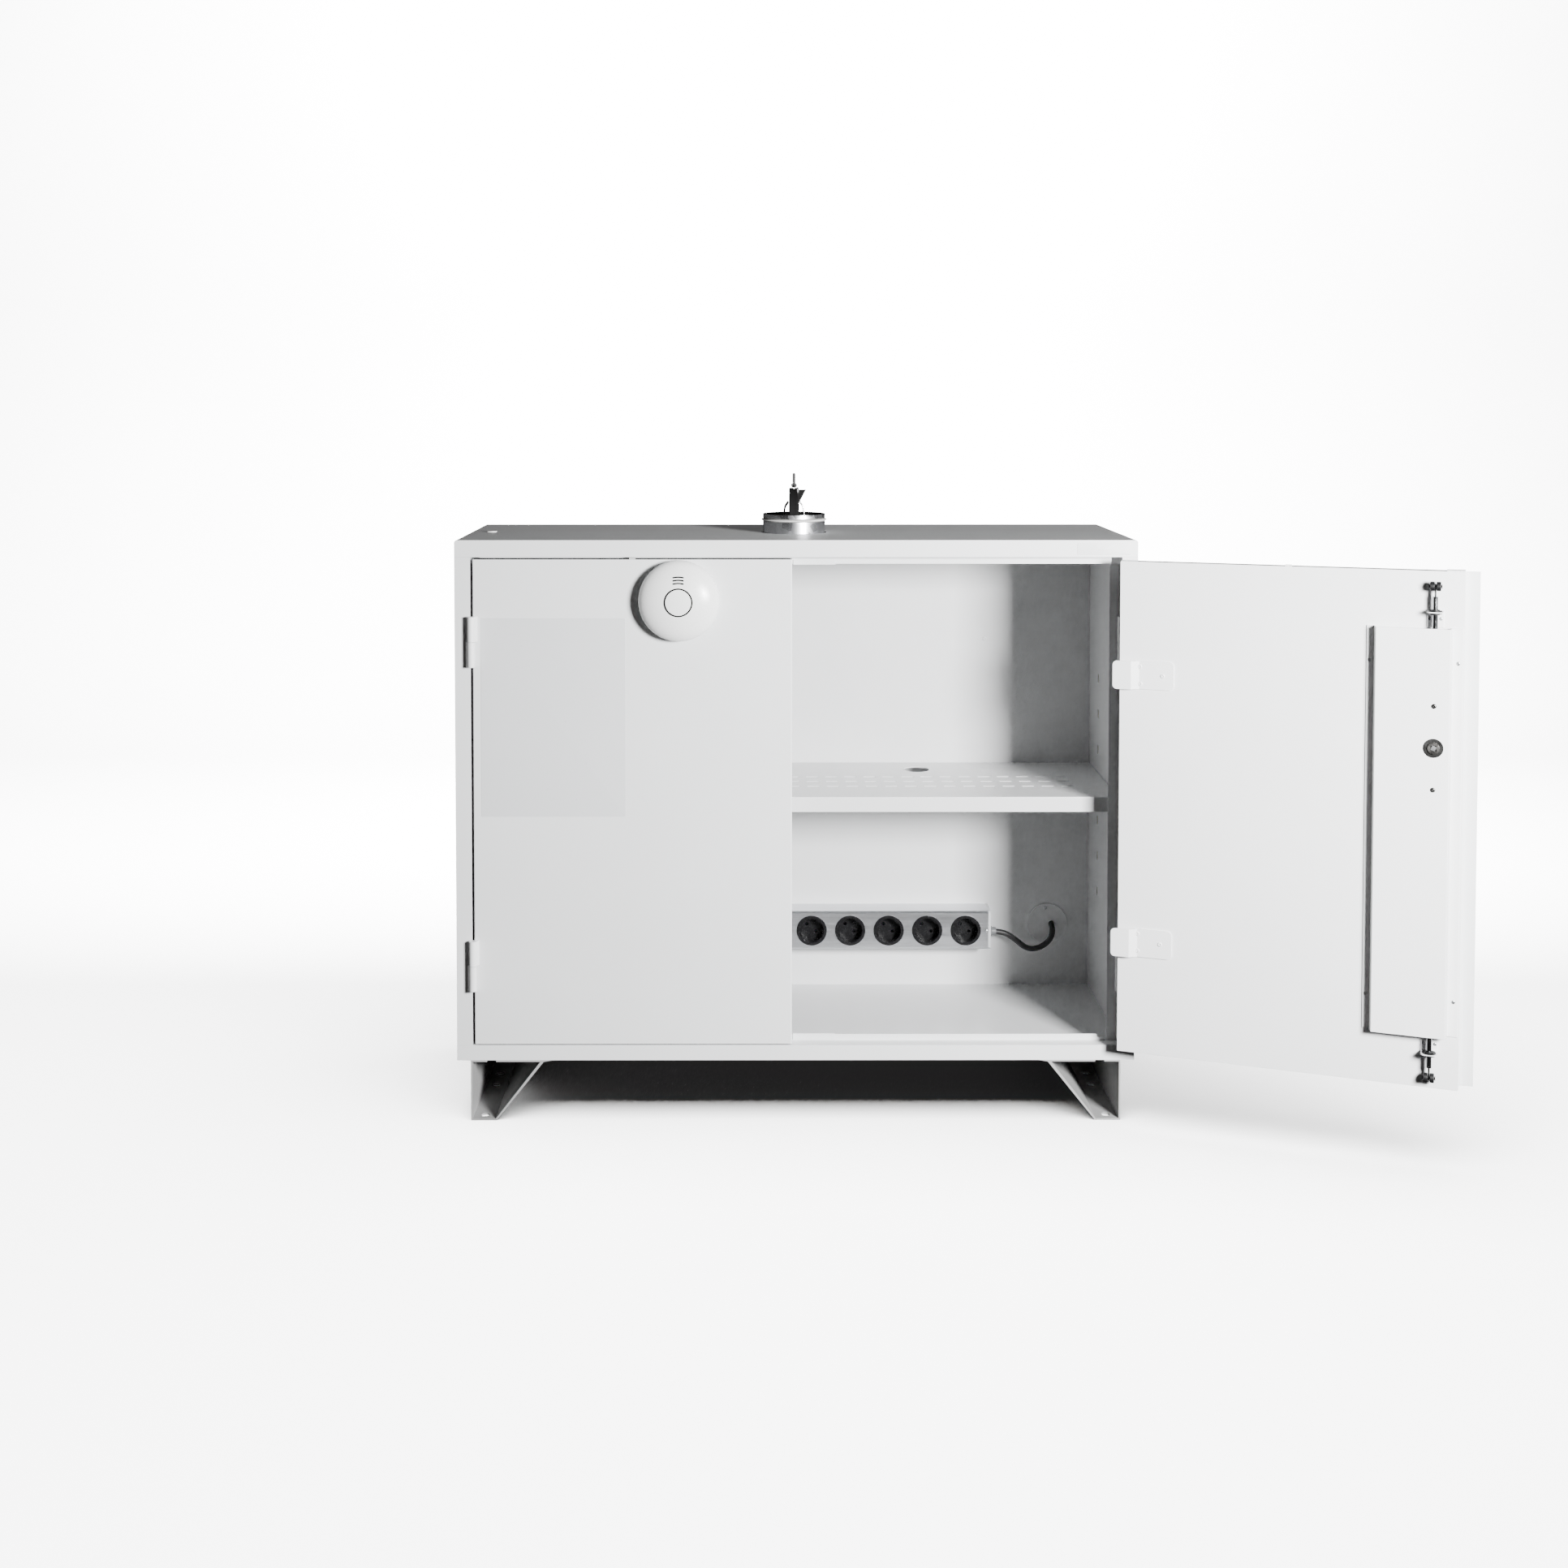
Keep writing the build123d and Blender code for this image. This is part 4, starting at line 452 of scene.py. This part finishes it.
heads("back_wall_rivet", [(313.0, LINER_BACK, 675.0)], OUTWARDS, RIVET, "cabinet", "white_paint")
heads("strip_screws", [(312.4, STRIP_FACE, 209.0), (-312.4, STRIP_FACE, 209.0)],
      OUTWARDS, TORX_SCREW, "cabinet", "zinc_steel", scale=0.7)
heads("entry_screw", [(414.0, ENTRY_FACE, 234.0)],
      OUTWARDS, TORX_SCREW, "cabinet", "zinc_steel", scale=0.8)
card("door_film", -462.0, -250.0, 453.0, 745.6, DOOR_FACE, FILM_THICK, 2.0, "left_door", FILM)
# painted shade: black strips along the left door's edges stand in for the shadow inside the shut gap
SHUT_GAP_SHADE = moulded("painted_gap_shade", (0.006, 0.006, 0.006), rough=0.8, gloss=0.1)
SKIN_LOW, SKIN_HIGH = (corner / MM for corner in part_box("left_door_skin"))
GAP_SHADE_PROUD = 0.35
GAP_SHADE_SUNK = 0.1
GAP_SHADE_END = 2.0              # from the door's corners
GAP_SHADE_FRONT = 2.5
GAP_SHADE_BACK = 2.0


def gap_shade_strips():
    """Thin black strips of painted shade on the left door's bottom, top and hinge edges, seen only through the
    gap.
    """
    mesh = bmesh.new()
    y0 = SKIN_LOW.y + GAP_SHADE_FRONT
    y1 = SKIN_HIGH.y - GAP_SHADE_BACK
    across = (SKIN_LOW.x + GAP_SHADE_END, SKIN_HIGH.x - GAP_SHADE_END)
    upright = (SKIN_LOW.z + GAP_SHADE_END, SKIN_HIGH.z - GAP_SHADE_END)
    strips = [(across, (SKIN_LOW.z - GAP_SHADE_PROUD, SKIN_LOW.z + GAP_SHADE_SUNK)),
              (across, (SKIN_HIGH.z - GAP_SHADE_SUNK, SKIN_HIGH.z + GAP_SHADE_PROUD)),
              ((SKIN_LOW.x - GAP_SHADE_PROUD, SKIN_LOW.x + GAP_SHADE_SUNK), upright)]
    for xs, (z0, z1) in strips:
        capped(mesh, [[mesh.verts.new((x * MM, y * MM, z * MM))
                       for y, z in ((y0, z0), (y0, z1), (y1, z1), (y1, z0))] for x in xs])
    outwards(mesh)
    return piece("left_door_painted_gap_shade", mesh, "left_door", SHUT_GAP_SHADE)


gap_shade_strips()
card("rail_film", 411.0, 489.0, 838.5, 856.0, DOOR_FACE, FILM_THICK, 1.5, "cabinet", STICKER)


# ---- lock screws and the socket of the spindle ----
COVER_FACE = -125.0
LOCK_X = 44.5
LOCK_Z = 590.7
SCREW_SPREAD = 57.5
WASHER_FACE = COVER_FACE + 1.2
NUT = [(0.0, 0.0, 0.0), (8.2, 0.0, 0.0), (8.2, 1.5, 0.0), (7.4, 2.1, 0.0), (6.6, 2.1, 0.0),
       (6.3, 1.3, 0.0), (0.0, 1.3, 0.0)]
NUT_SIDES = 8
SQUARE_END = [(0.0, 1.2, 0.0), (4.6, 1.2, 0.0), (4.6, 2.5, 0.0), (3.6, 3.1, 0.0), (0.0, 3.1, 0.0)]
SQUARE_SIDES = 4
NUT_TURN = math.radians(22.5)


def cover_screws():
    """The two screws of the lock's cover."""
    spots = [(LOCK_X, COVER_FACE, LOCK_Z + side * SCREW_SPREAD) for side in (1, -1)]
    screws = heads("cover_screws", spots, INWARDS, TORX_SCREW, "right_door", "zinc_steel", SWING,
                   scale=0.9, finish=DARK_ZINC)
    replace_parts(screws, "lock_screws")


def spindle_end(name, rings, sides, material):
    """Many-sided end of the spindle, on the cover's washer."""
    mesh = bmesh.new()
    place = facing((LOCK_X, WASHER_FACE, LOCK_Z), INWARDS) @ Matrix.Rotation(NUT_TURN, 4, "Z")
    lathe(mesh, rings, sides, SWING @ place)
    piece(name, mesh, "handle", material)


cover_screws()
spindle_end("spindle_nut", NUT, NUT_SIDES, BARE_STEEL)
spindle_end("spindle_square", SQUARE_END, SQUARE_SIDES, FINISHES["zinc_steel"])


# ---- painted shade in the alarm's slots ----
ALARM_X = -171.2
ALARM_Z = 772.4
SLOT_SHADE_DEPTH = 0.8
BUTTON_SLOT = (18.7, 20.9)
BUTTON_SLOT_FACE = -196.9
SOUND_SLOTS = ((27.0, -195.45), (31.4, -194.45), (35.8, -193.2))     # inner radius, front
SOUND_SLOT_WIDTH = 1.8
SOUND_SLOT_HALF = 8.0       # half the length, across the dome
SLOT_LAP = 0.15             # the painted shade laps each edge of its slot


def slot_shadow(name, inner, outer, y, start, stop, steps):
    """Black piece of painted shade in a curved slot of the alarm's dome, between two angles in degrees."""
    mesh = bmesh.new()
    loops = []
    full = stop - start >= 360.0
    for i in range(steps if full else steps + 1):
        angle = math.radians(start + (stop - start) * i / steps)
        loops.append([mesh.verts.new(((ALARM_X + r * math.cos(angle)) * MM, depth * MM,
                                      (ALARM_Z + r * math.sin(angle)) * MM))
                      for r, depth in ((inner, y), (outer, y), (outer, y + SLOT_SHADE_DEPTH),
                                       (inner, y + SLOT_SHADE_DEPTH))])
    if full:
        skin(mesh, loops, closed=True)
    else:
        capped(mesh, loops)
    outwards(mesh)
    return piece(name, mesh, "left_door", BLACK_COAT_AND_SLOT_SHADE)


slot_shadow("button_slot_shade", *BUTTON_SLOT, BUTTON_SLOT_FACE, 0.0, 360.0, 96)
for index, (radius, y) in enumerate(SOUND_SLOTS):
    half = math.degrees(math.asin(SOUND_SLOT_HALF / (radius + SOUND_SLOT_WIDTH / 2)))
    slot_shadow("sound_slot_shade_%d" % (index + 1), radius - SLOT_LAP, radius + SOUND_SLOT_WIDTH + SLOT_LAP,
                y, 90.0 - half, 90.0 + half, 12)


# ---- duct collar: rubber lip, blade gaskets and the soldered link ----
def ring(name, outline, body, material, steps=96):
    """Closed outline of (radius, height) in mm turned round the collar's axis."""
    mesh = bmesh.new()
    loops = []
    for i in range(steps):
        angle = 2.0 * math.pi * i / steps
        loops.append([mesh.verts.new((r * MM * math.cos(angle), r * MM * math.sin(angle), z * MM))
                      for r, z in outline])
    skin(mesh, loops, closed=True)
    return piece(name, mesh, body, material)


SEAL_LOW, SEAL_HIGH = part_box("duct_seal")
SEAL_Z = (SEAL_LOW.z / MM, SEAL_HIGH.z / MM)
BEAD_Z = (SEAL_Z[0] + SEAL_Z[1]) / 2
groove = ring("seal_groove", [(46.9, SEAL_Z[0]), (47.9, SEAL_Z[0]), (47.6, SEAL_Z[0] + 0.4),
                              (47.6, SEAL_Z[1] - 0.4), (47.9, SEAL_Z[1]), (46.9, SEAL_Z[1])],
              "cabinet", GROOVE)
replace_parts(groove, "duct_seal")
ring("lip_bead", [(47.5, BEAD_Z - 1.1), (49.2, BEAD_Z - 1.2), (50.1, BEAD_Z - 0.7), (50.3, BEAD_Z),
                  (50.0, BEAD_Z + 0.6), (49.0, BEAD_Z + 0.9), (47.5, BEAD_Z + 0.8)],
     "cabinet", FINISHES["black_rubber"])

HINGE_LINE = 886.0
BLADE_EDGE = 42.3
GUSSET = [(8.6, HINGE_LINE + 21.5), (17.9, HINGE_LINE + 39.5)]


def rim_strip(mesh, x0, x1, inner, outer, start, stop, steps=16):
    """Strip on the round edge of a folded blade, in front of and behind the post."""
    for way in (-1, 1):
        loops = []
        for i in range(steps + 1):
            angle = math.radians(start + (stop - start) * i / steps)
            loops.append([mesh.verts.new((x * MM, way * r * MM * math.cos(angle),
                                          (HINGE_LINE + r * math.sin(angle)) * MM))
                          for x, r in ((x0, inner), (x0, outer), (x1, outer), (x1, inner))])
        capped(mesh, loops)
    outwards(mesh)


CORNER_ROUNDS = 3           # times that each corner of a bent bar is cut


def sweep(mesh, points, y, radius, steps=14):
    """Round bar in the plane of one y, through (x, z) points whose corners are rounded off, in mm."""
    for _ in range(CORNER_ROUNDS):
        cut = [points[0]]
        for (ax, az), (bx, bz) in zip(points, points[1:]):
            cut.append((0.75 * ax + 0.25 * bx, 0.75 * az + 0.25 * bz))
            cut.append((0.25 * ax + 0.75 * bx, 0.25 * az + 0.75 * bz))
        points = cut + [points[-1]]
    loops = []
    for i, (x, z) in enumerate(points):
        ax, az = points[max(i - 1, 0)]
        bx, bz = points[min(i + 1, len(points) - 1)]
        length = math.hypot(bx - ax, bz - az)
        nx, nz = -(bz - az) / length, (bx - ax) / length
        loop = []
        for j in range(steps):
            angle = 2.0 * math.pi * j / steps
            side = radius * math.cos(angle)
            loop.append(mesh.verts.new(((x + nx * side) * MM, (y + radius * math.sin(angle)) * MM,
                                        (z + nz * side) * MM)))
        loops.append(loop)
    capped(mesh, loops)
    outwards(mesh)


def blade_gaskets():
    """Black seals round the left blade's edge."""
    mesh = bmesh.new()
    rim_strip(mesh, -1.5, 1.3, 34.0, BLADE_EDGE - 0.2, 4.0, 74.0)
    piece("blade_gaskets", mesh, "damper_blade_left", FINISHES["blade_black"])


def blade_edge_trim():
    """Bright edge of the right blade, and the rounded edge of its stiffener."""
    mesh = bmesh.new()
    rim_strip(mesh, 4.5, 7.1, 41.6, BLADE_EDGE + 0.5, 30.0, 84.0)
    sweep(mesh, GUSSET, 0.0, 0.9, 8)
    piece("blade_edge_trim", mesh, "damper_blade_right", FINISHES["spring_steel"])


SPRING_FOOT = -8.0          # from the hinge line
SPRING_PATH = [(8.6, 21.0), (15.0, 12.0), (15.0, SPRING_FOOT), (40.0, SPRING_FOOT)]
SPRING_ROWS = (-12.0, 12.0)
SPRING_WIRE_RADIUS = 1.25


def bent_springs():
    """Four wires that press the folded blades, on a mesh of their own."""
    mesh = bmesh.new()
    for side in (-1, 1):
        for y in SPRING_ROWS:
            sweep(mesh, [(side * x, HINGE_LINE + z) for x, z in SPRING_PATH], y, SPRING_WIRE_RADIUS)
    wires = piece("bent_springs", mesh, "cabinet", FINISHES["spring_steel"])
    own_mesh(wires)
    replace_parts(wires, "damper_springs")


blade_gaskets()
blade_edge_trim()
bent_springs()

LEAF_RADIUS = 2.4
LEAF_STEPS = 8
LEAF_HALF = 0.9             # half its width along the post
SADDLE_HALF = 5.6


def soldered_link():
    """Saddle astride the post, and a round-headed leaf above it."""
    low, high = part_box("fusible_link")
    foot = low.z / MM
    top = high.z / MM
    mesh = bmesh.new()
    saddle = [(-3.4, foot - 1.4), (3.4, foot - 1.4), (4.5, foot + 1.6), (4.3, foot + 3.6), (2.6, foot + 4.4),
              (-2.6, foot + 4.4), (-4.3, foot + 3.6), (-4.5, foot + 1.6)]
    leaf = [(-LEAF_RADIUS, foot + 3.6), (LEAF_RADIUS, foot + 3.6)]
    for i in range(LEAF_STEPS + 1):
        angle = math.pi * i / LEAF_STEPS
        leaf.append((LEAF_RADIUS * math.cos(angle), top - LEAF_RADIUS + LEAF_RADIUS * math.sin(angle)))
    for outline, half in ((saddle, SADDLE_HALF), (leaf, LEAF_HALF)):
        capped(mesh, [[mesh.verts.new((x * MM, y * MM, z * MM)) for x, z in outline]
                      for y in (-half, half)])
    outwards(mesh)
    return piece("soldered_link", mesh, "cabinet", SOLDER)


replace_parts(soldered_link(), "fusible_link")


# ---- stage, light and camera ----
STAGE_HALF = 9.0
WALL_FOOT = 2.6
BEND_RADIUS = 1.4
BEND_STEPS = 12
WALL_TOP = 7.0


def backdrop():
    """Pale floor that curves up into a wall behind the object."""
    mesh = bmesh.new()
    profile = [(-STAGE_HALF, 0.0), (WALL_FOOT, 0.0)]
    for i in range(1, BEND_STEPS + 1):
        angle = math.radians(90.0 * i / BEND_STEPS)
        profile.append((WALL_FOOT + BEND_RADIUS * math.sin(angle),
                        BEND_RADIUS - BEND_RADIUS * math.cos(angle)))
    profile.append((WALL_FOOT + BEND_RADIUS, WALL_TOP))
    rows = [[mesh.verts.new((x, y, z)) for y, z in profile] for x in (-STAGE_HALF, STAGE_HALF)]
    for i in range(len(profile) - 1):
        mesh.faces.new((rows[0][i], rows[1][i], rows[1][i + 1], rows[0][i + 1]))
    data = bpy.data.meshes.new("floor")
    mesh.to_mesh(data)
    mesh.free()
    obj = bpy.data.objects.new("floor", data)
    bpy.context.scene.collection.objects.link(obj)
    data.shade_smooth()
    n = Nodes("pale_floor")
    tone = n.spread(n.noise(1.2, 3.0), *NOISE_SPAN, 0.0, 1.0)
    n.set(Base_Color=n.tint(tone, (0.9, 0.9, 0.9), (0.93, 0.93, 0.93)), Roughness=0.9)
    data.materials.append(n.material)
    obj.visible_diffuse = False
    obj.visible_glossy = False
    return obj


def area_light(name, at, towards, size, power, only=None):
    """Square lamp aimed at a point; with only, it lights nothing but the given objects."""
    data = bpy.data.lights.new(name, "AREA")
    data.size = size
    data.energy = power
    obj = bpy.data.objects.new(name, data)
    obj.location = at
    obj.rotation_euler = (Vector(towards) - Vector(at)).to_track_quat("-Z", "Y").to_euler()
    bpy.context.scene.collection.objects.link(obj)
    if only is not None:
        lit = bpy.data.collections.new(name + "_lit")
        for receiver in only:
            lit.objects.link(receiver)
        obj.light_linking.receiver_collection = lit


cabinet = [obj for obj in bpy.context.scene.objects if obj.type in ("MESH", "CURVE")]
floor = backdrop()
area_light("key", (1.33, -2.02, 1.06), (0.15, 0.0, 0.5), 0.5, 275.0, only=cabinet)
area_light("roof_light", (0.0, 1.3, 2.4), (0.0, 0.2, 0.9), 1.2, 5.0)
area_light("fill", (-2.6, -3.2, 2.4), (0.0, 0.0, 0.5), 2.4, 2.0)
area_light("floor_light", (0.0, -1.0, 4.5), (0.0, 0.5, 0.0), 5.0, 2400.0, only=[floor])
area_light("wall_light", (0.0, 0.8, 2.6), (0.0, 4.0, 2.2), 3.0, 2400.0, only=[floor])

WORLD_COLOR = (1.0, 0.97, 0.94, 1.0)
WORLD_STRENGTH = 0.03
CAMERA_AT = (-0.0619, -2.8957, 1.0825)
CAMERA_TILT = 0.04005       # radians below level
CAMERA_PAN = -0.00236
CAMERA_LENS = 43.1
CAMERA_SENSOR = 36.0
CAMERA_SHIFT = (0.0164, -0.2047)


def studio_world():
    """Dim even light from all round."""
    world = bpy.data.worlds.new("studio")
    bpy.context.scene.world = world
    world.use_nodes = True
    background = world.node_tree.nodes["Background"]
    background.inputs["Color"].default_value = WORLD_COLOR
    background.inputs["Strength"].default_value = WORLD_STRENGTH


def place_camera():
    """Camera at the photograph's viewing angle."""
    data = bpy.data.cameras.new("camera")
    data.sensor_width = CAMERA_SENSOR
    data.lens = CAMERA_LENS
    data.shift_x, data.shift_y = CAMERA_SHIFT
    camera = bpy.data.objects.new("camera", data)
    camera.location = CAMERA_AT
    camera.rotation_euler = (math.pi / 2 - CAMERA_TILT, 0.0, CAMERA_PAN)
    bpy.context.scene.collection.objects.link(camera)
    bpy.context.scene.camera = camera


studio_world()
place_camera()
